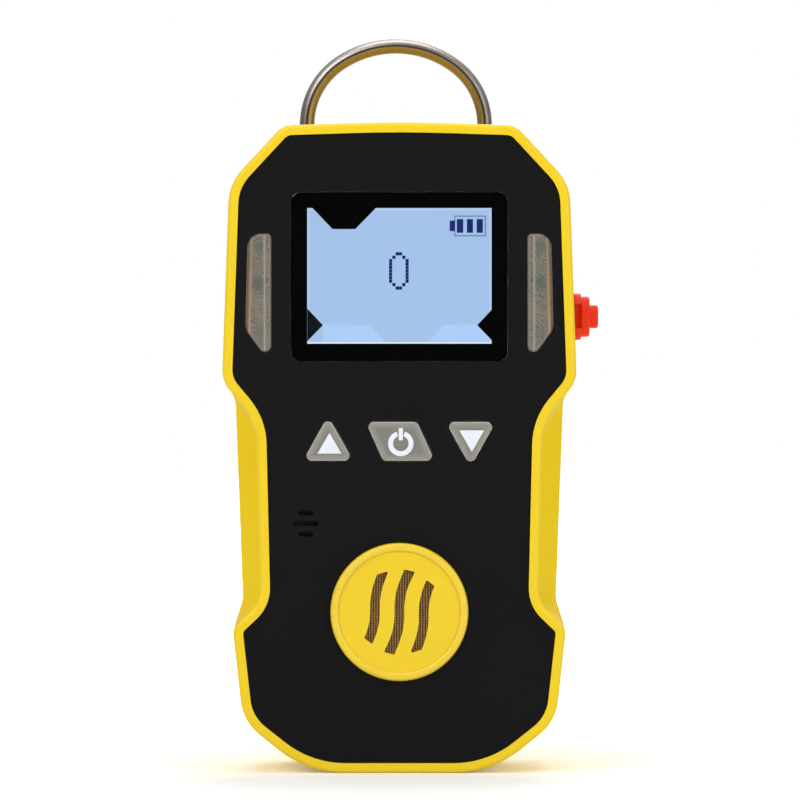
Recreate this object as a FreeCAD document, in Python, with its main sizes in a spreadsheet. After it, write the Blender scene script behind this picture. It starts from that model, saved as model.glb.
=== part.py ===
import FreeCAD, Part
import math
import os
import re
import Sketcher

# Portable gas detector: waisted yellow case, black front with display and keys,
# round sensor cap, wire bail, belt clip and rubber port plug.
# +Z is up, the front faces -Y, and the origin is the middle of the bottom rest face.

Vector = FreeCAD.Vector

SIZES = {
    # case depth stations, front to back
    "front_y": -15.0, "parting_y": 3.0, "back_y": 15.0, "rim_depth": 3.5, "scoop_depth": 7.5,
    # case walls and edges
    "wall": 2.0, "lip": 1.95, "ledge_wide": 1.5, "ledge_thick": 1.1, "rim_round": 0.9, "back_round": 2.5,
    # case outline, right half from the bottom up, each corner with its own radius
    "foot_x": 17.6, "foot_r": 20.6, "heel_x": 30.1, "heel_z": 9.9, "heel_r": 9.5,
    "hip_x": 32.1, "hip_z": 27.9, "hip_r": 3.0,
    "waist_low_x": 26.75, "waist_low_z": 33.0, "waist_low_r": 6.0,
    "waist_high_x": 27.55, "waist_high_z": 67.4, "waist_high_r": 12.0,
    "shoulder_x": 34.1, "shoulder_z": 75.3, "shoulder_r": 6.2,
    "temple_x": 32.75, "temple_z": 113.3, "temple_r": 10.0,
    "crown_x": 22.35, "crown_z": 124.5, "crown_r": 4.0, "top_z": 125.2, "top_r": 283.0,
    "back_waist_low_x": 30.45, "back_waist_high_x": 31.85, "back_waist_high_z": 72.0, "back_waist_high_r": 6.0,
    # line where the case halves meet, and the blank label bed on the back
    "shadow_tall": 0.35, "shadow_deep": 0.25, "label_wide": 36.0, "label_low_z": 10.0, "label_high_z": 27.0,
    "label_r": 2.0, "label_deep": 0.3,
    # clearances
    "glue_gap": 0.05, "slide_gap": 0.3, "pin_gap": 0.04, "bolt_gap": 0.02,
    # front cover
    "face_drop": 0.4, "cover_thick": 2.0,
    # display
    "display_z": 95.4, "lens_wide": 41.7, "lens_tall": 32.6, "lens_r": 2.0, "lens_thick": 1.0,
    "view_wide": 37.0, "view_tall": 27.6, "lcd_wide": 40.0, "lcd_tall": 30.6, "lcd_thick": 1.8,
    "backlight_thick": 2.5, "holder_wall": 1.3, "holder_lip": 1.8,
    # alarm windows
    "alarm_in_x": 24.6, "alarm_out_x": 29.2, "alarm_out_low_x": 29.65, "alarm_top_z": 103.7,
    "alarm_side_z": 85.3, "alarm_tip_z": 78.4, "alarm_top_r": 2.6, "alarm_in_r": 0.8,
    "alarm_side_r": 2.5, "alarm_tip_r": 1.2, "alarm_thick": 3.0,
    # keys
    "key_low_z": 60.0, "key_high_z": 67.5, "key_r": 1.0, "key_proud": 0.3, "key_travel": 0.5,
    "arrow_x": 13.7, "arrow_wide": 9.7, "arrow_tall": 8.66,
    "power_top_left": 6.5, "power_top_right": 3.4, "power_low_left": 3.1, "power_low_right": 6.8,
    "flange_wide": 0.8, "flange_thick": 0.8,
    "mat_wide": 38.0, "mat_tall": 11.0, "mat_thick": 1.0, "dome_wide": 6.0, "dome_top": 4.6,
    "dome_tall": 3.9, "dome_bore": 4.6, "dome_hollow": 3.0, "switch_wide": 3.8, "switch_tall": 0.8,
    # buzzer
    "buzzer_x": 18.0, "buzzer_z": 48.0, "buzzer_wide": 10.0, "membrane_wide": 8.0, "membrane_thick": 0.4,
    "sound_slot_tall": 0.95, "sound_slot_long": 5.05, "sound_slot_short": 2.85, "sound_slot_pitch": 2.03,
    # sensor bay
    "sensor_z": 31.0, "cap_wide": 26.5, "cap_proud": 1.5, "cap_rim": 1.6, "cap_dish": 0.6, "cap_plate": 1.3,
    "cap_skirt": 1.5, "cap_long": 7.1, "cap_round": 0.8, "cap_gap": 0.1,
    # wave slots: both corners of the middle, near and far slot ends, measured from the cap's centre
    "slot_wide": 1.87, "slot_pitch": 4.66, "slot_bend_r": 13.0, "slot_bend": 3.4, "slot_far_bend": 2.4,
    "slot_mid_in_x": 0.95, "slot_mid_in_z": 8.2, "slot_mid_out_x": 3.0, "slot_mid_out_z": 7.7,
    "slot_near_in_x": 2.1, "slot_near_in_z": 7.9, "slot_near_out_x": 4.3, "slot_near_out_z": 7.2,
    "slot_far_in_x": 5.2, "slot_far_in_z": 6.2, "slot_far_out_x": 6.75, "slot_far_out_z": 5.0,
    "slot_end_r": 0.25, "screen_thick": 0.4, "gasket_thick": 1.5, "gasket_bore": 15.0,
    "sensor_wide": 20.2, "sensor_long": 16.5, "sensor_pin_wide": 1.2, "sensor_pin_long": 2.9,
    "sensor_pin_ring": 6.75, "sensor_fit": 0.1, "holder_skirt": 1.3,
    "sensor_board_wide": 46.0, "sensor_board_low_z": 17.5, "sensor_board_high_z": 46.5,
    "sensor_board_y": 6.0, "socket_wide": 2.4, "socket_tall": 1.6,
    # main board and what stands on it
    "board_y": -6.0, "board_thick": 1.6, "board_low_z": 42.0, "board_waist_x": 23.5, "board_waist_z": 68.0,
    "board_hip_x": 29.3, "board_hip_z": 76.0, "board_step_z": 104.5, "board_top_x": 23.5, "board_top_z": 119.5,
    "board_r": 1.0, "notch_wide": 28.6,
    "post_wide": 4.6, "post_mid_x": 20.0, "post_mid_z": 73.8, "post_top_x": 20.5, "post_top_z": 116.5,
    "board_screw_wide": 1.8, "board_screw_long": 5.0, "board_head_wide": 3.6, "board_head_tall": 1.3,
    "led_x": 26.5, "led_low_z": 88.0, "led_high_z": 98.0, "led_wide": 3.2, "led_tall": 2.0, "led_dome": 2.2,
    "chip_wide": 9.0, "chip_thick": 1.1, "chip_x": 6.0, "chip_z": 50.0,
    "link_x": 18.5, "link_wide": 7.6, "link_tall": 2.5, "link_z": 44.4,
    # battery
    "battery_wide": 34.0, "battery_low_z": 54.0, "battery_high_z": 104.0, "battery_deep": 11.5,
    "battery_r": 2.0, "pad_thick": 1.0, "pad_margin": 2.0, "rib_x": 12.0, "rib_thick": 1.5,
    # charging port and plug
    "port_z": 88.0, "port_y": -0.3, "port_body": 8.2, "port_left_x": 21.5, "port_right_x": 31.3,
    "port_bore": 4.7, "port_bore_long": 8.4, "port_pin": 1.6, "port_hole": 5.0,
    "plug_stem": 4.5, "plug_reach": 25.0, "plug_seat_x": 34.0, "plug_flange": 9.1, "plug_flange_x": 35.5,
    "plug_disc": 7.9, "plug_disc_x": 37.1, "plug_knob": 4.5, "plug_knob_x": 38.8, "plug_notch": 4.7,
    "plug_notch_deep": 2.0, "plug_round": 0.4, "plug_pin_bore": 2.2, "plug_pin_deep": 6.8,
    # vibration motor
    "motor_x": -10.0, "motor_y": -9.3, "motor_z": 116.0, "motor_wide": 6.0, "motor_long": 11.0,
    "shaft_wide": 1.0, "weight_r": 2.6, "weight_long": 3.6, "weight_gap": 0.6, "strap_thick": 0.3,
    "strap_long": 6.0, "strap_foot": 2.5,
    # case screws
    "boss_wide": 6.4, "boss_high_x": 28.3, "boss_high_z": 110.0, "boss_low_x": 25.4, "boss_low_z": 12.8,
    "boss_long": 8.0, "insert_wide": 3.8, "insert_bore": 2.4, "insert_long": 5.0,
    "screw_wide": 2.36, "screw_head": 4.5, "screw_head_tall": 2.0, "screw_seat_y": 7.0, "screw_long": 9.0,
    "screw_hole": 2.7, "screw_recess": 5.0,
    # bail
    "bail_wire": 2.9, "bail_half": 17.55, "bail_top_z": 141.65, "bail_top_r": 19.8, "bail_leg_z": 126.1,
    "bail_shift": -0.7, "bail_pivot_y": 9.0, "bail_pivot_z": 118.0,
    "bail_elbow_r": 2.0, "bail_end_x": 13.2, "notch_in_x": 15.7, "notch_out_x": 19.5, "notch_gap": 0.35,
    "bushing_wide": 4.6, "bushing_long": 5.0, "bushing_gap": 0.05,
    "block_x": 21.8, "block_low_z": 113.3, "block_high_z": 123.6, "block_y": 4.5,
    # seal between the case halves
    "seal_edge": 0.6, "seal_tall": 0.8,
    # belt clip
    "base_wide": 26.0, "base_low_z": 62.0, "base_high_z": 102.0, "base_thick": 2.0, "base_r": 3.0,
    "ear_in_x": 9.0, "ear_out_x": 12.0, "ear_r": 3.2, "pin_y": 20.4, "pin_z": 92.0, "pin_wide": 2.5,
    "pin_long": 24.0, "clip_screw_low_z": 68.0, "clip_screw_high_z": 98.5, "clip_screw_wide": 2.2,
    "clip_screw_head": 4.4, "clip_screw_head_tall": 1.2, "clip_screw_long": 7.0,
    "clip_post": 5.6, "clip_post_y": 8.7,
    "lever_wide": 17.4, "lever_in_y": 23.2, "lever_thick": 1.6, "lever_low_z": 38.0, "lever_top_z": 104.0,
    "thumb_z": 96.0, "thumb_out": 2.6, "grip_wide": 1.0, "grip_end": 2.0,
    "hook_y": 15.4, "hook_tall": 3.0, "knuckle_in_x": 5.6, "knuckle_r": 2.6,
    "spring_wire": 0.8, "spring_wide": 3.9, "spring_pitch": 1.2,
    "spring_arm": 8.0, "spring_rest": 0.05,
}

doc = FreeCAD.newDocument("gas_detector")
sheet = doc.addObject("Spreadsheet::Sheet", "Sizes")
for row, (alias, value) in enumerate(SIZES.items(), 1):
    sheet.set(f"A{row}", alias)
    sheet.set(f"B{row}", str(value))
    sheet.setAlias(f"B{row}", alias)
desk = doc.addObject("Spreadsheet::Sheet", "Desk")
doc.recompute()

WORD = re.compile(r"[a-z]\w*")
WAYS = {"XZ": Vector(0, 1, 0), "YZ": Vector(1, 0, 0), "XY": Vector(0, 0, 1)}


def link(text):
    """A formula over size names, written the way an expression reads the sheet."""
    return WORD.sub(lambda found: "Sizes." + found.group(), text)


def number(text):
    """The present value of a formula, worked out on the desk sheet."""
    desk.set("A1", "=" + link(text))
    desk.recompute()
    return float(desk.A1)


def tie(sketch, constraint, text):
    """Adds a dimension and binds it to its formula."""
    index = sketch.addConstraint(constraint)
    sketch.setExpression(f"Constraints[{index}]", link(text))


def pin_point(sketch, geometry, point, across, up):
    """Holds a point at a formula's place, measured from the sketch's origin."""
    for kind, text, axis in (("DistanceX", across, -2), ("DistanceY", up, -1)):
        if text == "0":
            sketch.addConstraint(Sketcher.Constraint("PointOnObject", geometry, point, axis))
        else:
            tie(sketch, Sketcher.Constraint(kind, -1, 1, geometry, point, number(text)), text)


def outline(corners):
    """A closed outline through corners (across, up, radius or None), anticlockwise."""

    def draw(sketch):
        count = len(corners)
        points = [Vector(number(c[0]), number(c[1]), 0) for c in corners]
        radii = [number(c[2]) if c[2] else 0.0 for c in corners]
        starts, ends, arcs = [], [], []
        for i in range(count):
            back = (points[i - 1] - points[i]).normalize()
            ahead = (points[(i + 1) % count] - points[i]).normalize()
            half = back.getAngle(ahead) / 2
            ends.append(points[i] + back * (radii[i] / math.tan(half)))
            starts.append(points[i] + ahead * (radii[i] / math.tan(half)))
            middle = points[i] + (back + ahead).normalize() * (radii[i] / math.sin(half))
            convex = ahead.cross(back).z > 0
            arcs.append((middle, convex))
        lines = []
        for i in range(count):
            lines.append(sketch.addGeometry(Part.LineSegment(starts[i], ends[(i + 1) % count]), False))
        for i in range(count):
            across, up, radius = corners[i]
            if not radius:
                sketch.addConstraint(Sketcher.Constraint("Coincident", lines[i - 1], 2, lines[i], 1))
                pin_point(sketch, lines[i], 1, across, up)
                continue
            middle, convex = arcs[i]
            first, last = (ends[i], starts[i]) if convex else (starts[i], ends[i])
            begin = math.atan2(first.y - middle.y, first.x - middle.x)
            finish = math.atan2(last.y - middle.y, last.x - middle.x)
            if finish < begin:
                finish += 2 * math.pi
            round_ = Part.Circle(middle, Vector(0, 0, 1), radii[i])
            arc = sketch.addGeometry(Part.ArcOfCircle(round_, begin, finish), False)
            corner = sketch.addGeometry(Part.Point(points[i]), True)
            into, out_of = (1, 2) if convex else (2, 1)
            sketch.addConstraint([
                Sketcher.Constraint("Tangent", lines[i - 1], 2, arc, into),
                Sketcher.Constraint("Tangent", arc, out_of, lines[i], 1),
                Sketcher.Constraint("PointOnObject", corner, 1, lines[i - 1]),
                Sketcher.Constraint("PointOnObject", corner, 1, lines[i]),
            ])
            pin_point(sketch, corner, 1, across, up)
            tie(sketch, Sketcher.Constraint("Radius", arc, radii[i]), radius)

    return draw


def box(left, low, right, high, radius=None):
    """A rectangle between four formulas."""
    return outline([(left, low, radius), (right, low, radius), (right, high, radius), (left, high, radius)])


def disc(across, up, wide):
    """A circle with its centre and diameter given by formulas."""

    def draw(sketch):
        centre = Vector(number(across), number(up), 0)
        circle = sketch.addGeometry(Part.Circle(centre, Vector(0, 0, 1), number(wide) / 2), False)
        pin_point(sketch, circle, 3, across, up)
        tie(sketch, Sketcher.Constraint("Diameter", circle, number(wide)), wide)

    return draw


def minus(text):
    """The formula with its sign changed."""
    return "0" if text == "0" else f"-({text})"


def mirrored(corners):
    """A right-half list of corners from the bottom up, closed by its mirror image."""
    left = [(minus(across), up, radius) for across, up, radius in reversed(corners) if across != "0"]
    return corners + left


def both_sides(*shapes):
    """Each (draw function, across, up, size) once on the right and once on the left."""
    drawn = []
    for make, across, up, size in shapes:
        drawn.append(make(across, up, size))
        drawn.append(make(minus(across), up, size))
    return drawn


class Piece:
    """One sub-part: a PartDesign body with its own label and placement."""

    def __init__(self, name, at=("0", "0", "0"), turn=None):
        self.name = name
        self.body = doc.addObject("PartDesign::Body", name)
        self.body.Label = name
        self.count = 0
        if turn:
            self.body.Placement.Rotation = FreeCAD.Rotation(*turn)
        for axis, text in zip("xyz", at):
            if text != "0":
                self.body.setExpression(f"Placement.Base.{axis}", link(text))

    def tag(self, kind):
        self.count += 1
        return f"{self.name}_{kind}_{self.count}"

    def plane(self, letters):
        for feature in self.body.Origin.OriginFeatures:
            if feature.Role == letters + "_Plane":
                return feature

    def sketch(self, letters, station, shapes):
        """A sketch on one of the body's own planes, moved along it to a station."""
        sketch = self.body.newObject("Sketcher::SketchObject", self.tag("sketch"))
        sketch.AttachmentSupport = [(self.plane(letters), "")]
        sketch.MapMode = "FlatFace"
        if station != "0":
            along = minus(station) if letters == "XZ" else station
            sketch.AttachmentOffset.Base.z = number(along)
            sketch.setExpression("AttachmentOffset.Base.z", link(along))
        for draw in shapes:
            draw(sketch)
        return sketch

    def profile(self, letters, station, shapes, grow=None):
        """A sketch, or the same sketch grown or shrunk all round by a formula."""
        sketch = self.sketch(letters, station, shapes)
        if grow is None:
            return sketch
        grown = self.body.newObject("PartDesign::SubShapeBinder", self.tag("grown"))
        grown.Support = [(sketch, ("",))]
        grown.setExpression("Offset", link(grow))
        return grown

    def shape_along(self, kind, letters, station, shapes, length, way, grow):
        profile = self.profile(letters, station, shapes, grow)
        feature = self.body.newObject(kind, self.tag(kind.split("::")[1].lower()))
        feature.Profile = profile
        feature.UseCustomVector = True
        feature.Direction = WAYS[letters] * way
        feature.setExpression("Length", link(length))
        return feature

    def add(self, letters, station, shapes, length, way=1, grow=None):
        return self.shape_along("PartDesign::Pad", letters, station, shapes, length, way, grow)

    def cut(self, letters, station, shapes, length, way=1, grow=None):
        return self.shape_along("PartDesign::Pocket", letters, station, shapes, length, way, grow)

    def loft(self, kind, first, last):
        feature = self.body.newObject(kind, self.tag("loft"))
        feature.Profile = first
        feature.Sections = [last]
        feature.Ruled = True
        return feature

    def edges(self, chosen):
        """Names of the present edges that a test on their bounding box picks."""
        doc.recompute()
        tip = self.body.Tip
        names = [f"Edge{i}" for i, e in enumerate(tip.Shape.Edges, 1) if chosen(e.BoundBox)]
        return (tip, names)

    def soften(self, size, chosen, kind="Fillet"):
        """Rounds or chamfers the edges that the test picks."""
        base = self.edges(chosen)
        feature = self.body.newObject(f"PartDesign::{kind}", self.tag(kind.lower()))
        feature.Base = base
        feature.setExpression("Radius" if kind == "Fillet" else "Size", link(size))
        doc.recompute()
        return feature


def near(value, target, slack=0.02):
    return abs(value - target) < slack


def flat_at(axis, place):
    """A test for edges that lie in one plane across an axis."""
    target = number(place)
    low, high = axis + "Min", axis + "Max"
    return lambda b: near(getattr(b, low), target) and near(getattr(b, high), target)


# --- outlines shared by mating pieces -------------------------------------------------

TOP_CORNERS = [
    ("shoulder_x", "shoulder_z", "shoulder_r"), ("temple_x", "temple_z", "temple_r"),
    ("crown_x", "crown_z", "crown_r"), ("0", "top_z", "top_r"),
]
LOW_CORNERS = [("foot_x", "0", "foot_r"), ("heel_x", "heel_z", "heel_r"), ("hip_x", "hip_z", "hip_r")]
FRONT_CASE = outline(mirrored(LOW_CORNERS + [
    ("waist_low_x", "waist_low_z", "waist_low_r"),
    ("waist_high_x", "waist_high_z", "waist_high_r"),
] + TOP_CORNERS))
BACK_CASE = outline(mirrored(LOW_CORNERS + [
    ("back_waist_low_x", "waist_low_z", "waist_low_r"),
    ("back_waist_high_x", "back_waist_high_z", "back_waist_high_r"),
] + TOP_CORNERS))

RIGHT_ALARM = [
    ("alarm_in_x", "alarm_tip_z", "alarm_tip_r"), ("alarm_out_low_x", "alarm_side_z", "alarm_side_r"),
    ("alarm_out_x", "alarm_top_z", "alarm_top_r"), ("alarm_in_x", "alarm_top_z", "alarm_in_r"),
]
LEFT_ALARM = [(minus(across), up, radius) for across, up, radius in reversed(RIGHT_ALARM)]

KEYS = {
    "button_up": outline([
        ("-arrow_x-arrow_wide/2", "key_low_z", "key_r"), ("-arrow_x+arrow_wide/2", "key_low_z", "key_r"),
        ("-arrow_x", "key_low_z+arrow_tall", "key_r"),
    ]),
    "button_power": outline([
        ("-power_low_left", "key_low_z", "key_r"), ("power_low_right", "key_low_z", "key_r"),
        ("power_top_right", "key_high_z", "key_r"), ("-power_top_left", "key_high_z", "key_r"),
    ]),
    "button_down": outline([
        ("arrow_x", "key_high_z-arrow_tall", "key_r"), ("arrow_x+arrow_wide/2", "key_high_z", "key_r"),
        ("arrow_x-arrow_wide/2", "key_high_z", "key_r"),
    ]),
}
KEY_MIDDLE = "(key_low_z+key_high_z)/2"

# depth stations derived from the driving sizes
FACE = "(front_y+face_drop)"
COVER_BACK = f"({FACE}+cover_thick)"
CAVITY_START = "(front_y+rim_depth)"
SCOOP_END = "(front_y+rim_depth+scoop_depth)"
BOARD_BACK = "(board_y+board_thick)"
FLOOR_Y = "(back_y-wall)"
LCD_BACK = f"({COVER_BACK}+lcd_thick)"
LIGHT_BACK = f"({LCD_BACK}+backlight_thick)"
CAP_FRONT = f"({FACE}-cap_proud)"
CAP_PLATE_BACK = f"({CAP_FRONT}+cap_dish+cap_plate)"
SCREEN_BACK = f"({CAP_PLATE_BACK}+screen_thick)"
SENSOR_FRONT = f"({SCREEN_BACK}+gasket_thick)"
SENSOR_BACK = f"({SENSOR_FRONT}+sensor_long)"
BATTERY_FRONT = f"({BOARD_BACK}+pad_thick)"
BATTERY_BACK = f"({BATTERY_FRONT}+battery_deep)"


def display(wide, tall):
    return box(f"-{wide}/2", f"display_z-{tall}/2", f"{wide}/2", f"display_z+{tall}/2")


LENS = box("-lens_wide/2", "display_z-lens_tall/2", "lens_wide/2", "display_z+lens_tall/2", "lens_r")
POSTS = [("post_mid_x", "post_mid_z"), ("post_top_x", "post_top_z")]
BOSSES = [("boss_low_x", "boss_low_z"), ("boss_high_x", "boss_high_z")]


def discs(places, wide):
    return both_sides(*[(disc, across, up, wide) for across, up in places])


# --- front half of the case: rim, scooped waist and side walls ------------------------

jacket = Piece("yellow_jacket")
jacket.add("XZ", "front_y", [FRONT_CASE], "rim_depth")
jacket.loft("PartDesign::AdditiveLoft", jacket.sketch("XZ", CAVITY_START, [FRONT_CASE]),
            jacket.sketch("XZ", SCOOP_END, [BACK_CASE]))
jacket.add("XZ", SCOOP_END, [BACK_CASE], f"parting_y-{SCOOP_END}")
jacket.soften("rim_round", flat_at("Y", "front_y"))
jacket.cut("XZ", "front_y", [FRONT_CASE], f"{COVER_BACK}-front_y", grow="-lip")
jacket.cut("XZ", COVER_BACK, [FRONT_CASE], f"{CAVITY_START}-{COVER_BACK}", grow="-lip-ledge_wide")
jacket.loft("PartDesign::SubtractiveLoft", jacket.profile("XZ", CAVITY_START, [FRONT_CASE], "-wall"),
            jacket.profile("XZ", SCOOP_END, [BACK_CASE], "-wall"))
jacket.cut("XZ", SCOOP_END, [BACK_CASE], f"parting_y-{SCOOP_END}", grow="-wall")
jacket.add("XZ", "parting_y", discs(BOSSES, "boss_wide"), "boss_long", way=-1)
jacket.cut("XZ", "parting_y", discs(BOSSES, "insert_wide"), "insert_long+1", way=-1)
jacket.cut("YZ", "plug_flange_x", [disc("port_y", "port_z", "port_hole")],
           "plug_flange_x-port_right_x+0.5", way=-1)

# --- black front cover with its openings and board posts ------------------------------

cover = Piece("front_cover")
cover.add("XZ", FACE, [FRONT_CASE], "cover_thick", grow="-lip-glue_gap")
cover.add("XZ", COVER_BACK, discs(POSTS, "post_wide"), f"board_y-{COVER_BACK}")
cover.cut("XZ", "board_y", discs(POSTS, "board_screw_wide+2*bolt_gap"), "board_screw_long", way=-1)
cover.cut("XZ", FACE, [LENS], "lens_thick", grow="glue_gap")
cover.cut("XZ", FACE, [display("view_wide", "view_tall")], "cover_thick")
cover.cut("XZ", FACE, [outline(RIGHT_ALARM), outline(LEFT_ALARM)], "cover_thick", grow="glue_gap")
cover.cut("XZ", FACE, list(KEYS.values()), "cover_thick", grow="slide_gap")
cover.cut("XZ", FACE, [disc("0", "sensor_z", "cap_wide+2*cap_gap")], "cover_thick")


def sound_slot(long, up):
    return box(f"-buzzer_x-{long}/2", f"buzzer_z+{up}-sound_slot_tall/2", f"-buzzer_x+{long}/2",
               f"buzzer_z+{up}+sound_slot_tall/2", "sound_slot_tall/2-0.01")


cover.cut("XZ", FACE, [
    sound_slot("sound_slot_short", "sound_slot_pitch"), sound_slot("sound_slot_long", "0"),
    sound_slot("sound_slot_short", "(-sound_slot_pitch)"),
], "cover_thick")

# --- display stack --------------------------------------------------------------------

lens = Piece("display_lens")
lens.add("XZ", FACE, [LENS], "lens_thick")

lcd = Piece("lcd_panel")
lcd.add("XZ", COVER_BACK, [display("lcd_wide", "lcd_tall")], "lcd_thick")

light = Piece("backlight_panel")
light.add("XZ", LCD_BACK, [display("lcd_wide", "lcd_tall")], "backlight_thick")

holder = Piece("display_holder")
holder.add("XZ", COVER_BACK, [
    display("(lcd_wide+2*glue_gap+2*holder_wall)", "(lcd_tall+2*glue_gap+2*holder_wall)"),
], f"board_y-{COVER_BACK}")
holder.cut("XZ", COVER_BACK, [display("(lcd_wide+2*glue_gap)", "(lcd_tall+2*glue_gap)")],
           f"{LIGHT_BACK}-{COVER_BACK}")
holder.cut("XZ", LIGHT_BACK, [display("(lcd_wide-2*holder_lip)", "(lcd_tall-2*holder_lip)")],
           f"board_y-{LIGHT_BACK}")

# --- alarm windows --------------------------------------------------------------------

for side, corners in (("left", LEFT_ALARM), ("right", RIGHT_ALARM)):
    window = Piece(f"alarm_window_{side}")
    window.add("XZ", FACE, [outline(corners)], "alarm_thick")
    window.soften("0.3", flat_at("Y", FACE), "Chamfer")

# --- keys, rubber mat with domes, switches --------------------------------------------

for name, shape in KEYS.items():
    key = Piece(name)
    key.add("XZ", f"{FACE}-key_proud", [shape], "key_proud+cover_thick+slide_gap+flange_thick")
    key.soften("key_r/3", flat_at("Y", f"{FACE}-key_proud"))
    key.add("XZ", f"{COVER_BACK}+slide_gap", [shape], "flange_thick", grow="flange_wide")

DOMES = [("-arrow_x", KEY_MIDDLE), ("0", KEY_MIDDLE), ("arrow_x", KEY_MIDDLE)]
mat = Piece("keypad_mat")
mat.add("XZ", "board_y", [box("-mat_wide/2", f"{KEY_MIDDLE}-mat_tall/2", "mat_wide/2",
                              f"{KEY_MIDDLE}+mat_tall/2", "board_r")], "mat_thick", way=-1)
for across, up in DOMES:
    mat.loft("PartDesign::AdditiveLoft", mat.sketch("XZ", "board_y-mat_thick", [disc(across, up, "dome_wide")]),
             mat.sketch("XZ", "board_y-mat_thick-dome_tall", [disc(across, up, "dome_top")]))
mat.cut("XZ", "board_y", [disc(across, up, "dome_bore") for across, up in DOMES], "dome_hollow", way=-1)

switches = Piece("tact_switches")
switches.add("XZ", "board_y", [disc(across, up, "switch_wide") for across, up in DOMES], "switch_tall", way=-1)

# --- buzzer ---------------------------------------------------------------------------

BUZZER = [disc("-buzzer_x", "buzzer_z", "buzzer_wide")]
buzzer = Piece("buzzer")
buzzer.add("XZ", f"{COVER_BACK}+membrane_thick", BUZZER, f"board_y-{COVER_BACK}-membrane_thick")
buzzer.soften("0.5", flat_at("Y", f"{COVER_BACK}+membrane_thick"))
buzzer.cut("XZ", f"{COVER_BACK}+membrane_thick", [disc("-buzzer_x", "buzzer_z", "2")], "1.5")

membrane = Piece("buzzer_membrane")
membrane.add("XZ", COVER_BACK, [disc("-buzzer_x", "buzzer_z", "membrane_wide")], "membrane_thick")

# --- sensor cap, screen, gasket, cell and its board -----------------------------------


def wave_slot(across, top, low):
    """One slot of the sensor cap: upright in the middle, leaning at both ends, which lie on a circle.

    An end is its left corner, its right corner and the height where its sides begin to lean.
    """
    left, right = f"{across}-slot_wide/2", f"{across}+slot_wide/2"
    (top_left, top_right, top_bend), (low_left, low_right, low_bend) = top, low
    return outline([
        (low_left[0], f"sensor_z-{low_left[1]}", "slot_end_r"),
        (low_right[0], f"sensor_z-{low_right[1]}", "slot_end_r"),
        (right, f"sensor_z-{low_bend}", "slot_bend_r"), (right, f"sensor_z+{top_bend}", "slot_bend_r"),
        (top_right[0], f"sensor_z+{top_right[1]}", "slot_end_r"),
        (top_left[0], f"sensor_z+{top_left[1]}", "slot_end_r"),
        (left, f"sensor_z+{top_bend}", "slot_bend_r"), (left, f"sensor_z-{low_bend}", "slot_bend_r"),
    ])


def slot_corner(name, side=""):
    """A slot end's corner on the given side of the cap."""
    return f"{side}slot_{name}_x", f"slot_{name}_z"


MIDDLE_SLOT = wave_slot(
    "0", (slot_corner("mid_in"), slot_corner("mid_out"), "slot_bend"),
    (slot_corner("mid_out", "-"), slot_corner("mid_in", "-"), "slot_bend"))
LEFT_SLOT = wave_slot(
    "-slot_pitch", (slot_corner("near_out", "-"), slot_corner("near_in", "-"), "slot_bend"),
    (slot_corner("far_out", "-"), slot_corner("far_in", "-"), "slot_far_bend"))
RIGHT_SLOT = wave_slot(
    "slot_pitch", (slot_corner("far_in"), slot_corner("far_out"), "slot_far_bend"),
    (slot_corner("near_in"), slot_corner("near_out"), "slot_bend"))

CAP = ("0", "sensor_z")
cap = Piece("sensor_cap")
cap.add("XZ", CAP_FRONT, [disc(*CAP, "cap_wide")], "cap_long")
cap.soften("cap_round", flat_at("Y", CAP_FRONT))
cap.cut("XZ", CAP_FRONT, [disc(*CAP, "cap_wide-2*cap_rim")], "cap_dish")
cap.soften("cap_dish-0.05", lambda b, front=number(CAP_FRONT), wide=number("cap_wide-2*cap_rim"):
           near(b.YMin, front) and near(b.YMax, front) and b.XLength < wide + 0.3)
cap.cut("XZ", CAP_PLATE_BACK, [disc(*CAP, "cap_wide-2*cap_skirt")], "cap_long")
cap.cut("XZ", CAP_FRONT, [MIDDLE_SLOT, LEFT_SLOT, RIGHT_SLOT], "cap_dish+cap_plate")

screen = Piece("sensor_screen")
screen.add("XZ", CAP_PLATE_BACK, [disc(*CAP, "cap_wide-2*cap_skirt-2*cap_gap")], "screen_thick")

gasket = Piece("sensor_gasket")
gasket.add("XZ", SCREEN_BACK, [disc(*CAP, "cap_wide-2*cap_skirt-2*cap_gap"), disc(*CAP, "gasket_bore")],
           "gasket_thick")

cell = Piece("gas_sensor")
PIN_ANGLES = (90, 210, 330)
PINS = [(f"sensor_pin_ring*{math.cos(math.radians(a)):.4f}",
         f"sensor_z+sensor_pin_ring*{math.sin(math.radians(a)):.4f}") for a in PIN_ANGLES]
cell.add("XZ", SENSOR_FRONT, [disc(*CAP, "sensor_wide")], "sensor_long")
cell.soften("0.4", flat_at("Y", SENSOR_FRONT), "Chamfer")
cell.soften("0.4", flat_at("Y", SENSOR_BACK), "Chamfer")
cell.add("XZ", SENSOR_BACK, [disc(*at, "sensor_pin_wide") for at in PINS], "sensor_pin_long")
cell.cut("XZ", SENSOR_FRONT, [disc(*CAP, "2.5")], "0.8")

sleeve = Piece("sensor_holder")
sleeve.add("XZ", SENSOR_FRONT, [disc(*CAP, "sensor_wide+2*sensor_fit+2*holder_skirt"),
                                disc(*CAP, "sensor_wide+2*sensor_fit")], f"sensor_board_y-{SENSOR_FRONT}")

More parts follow.
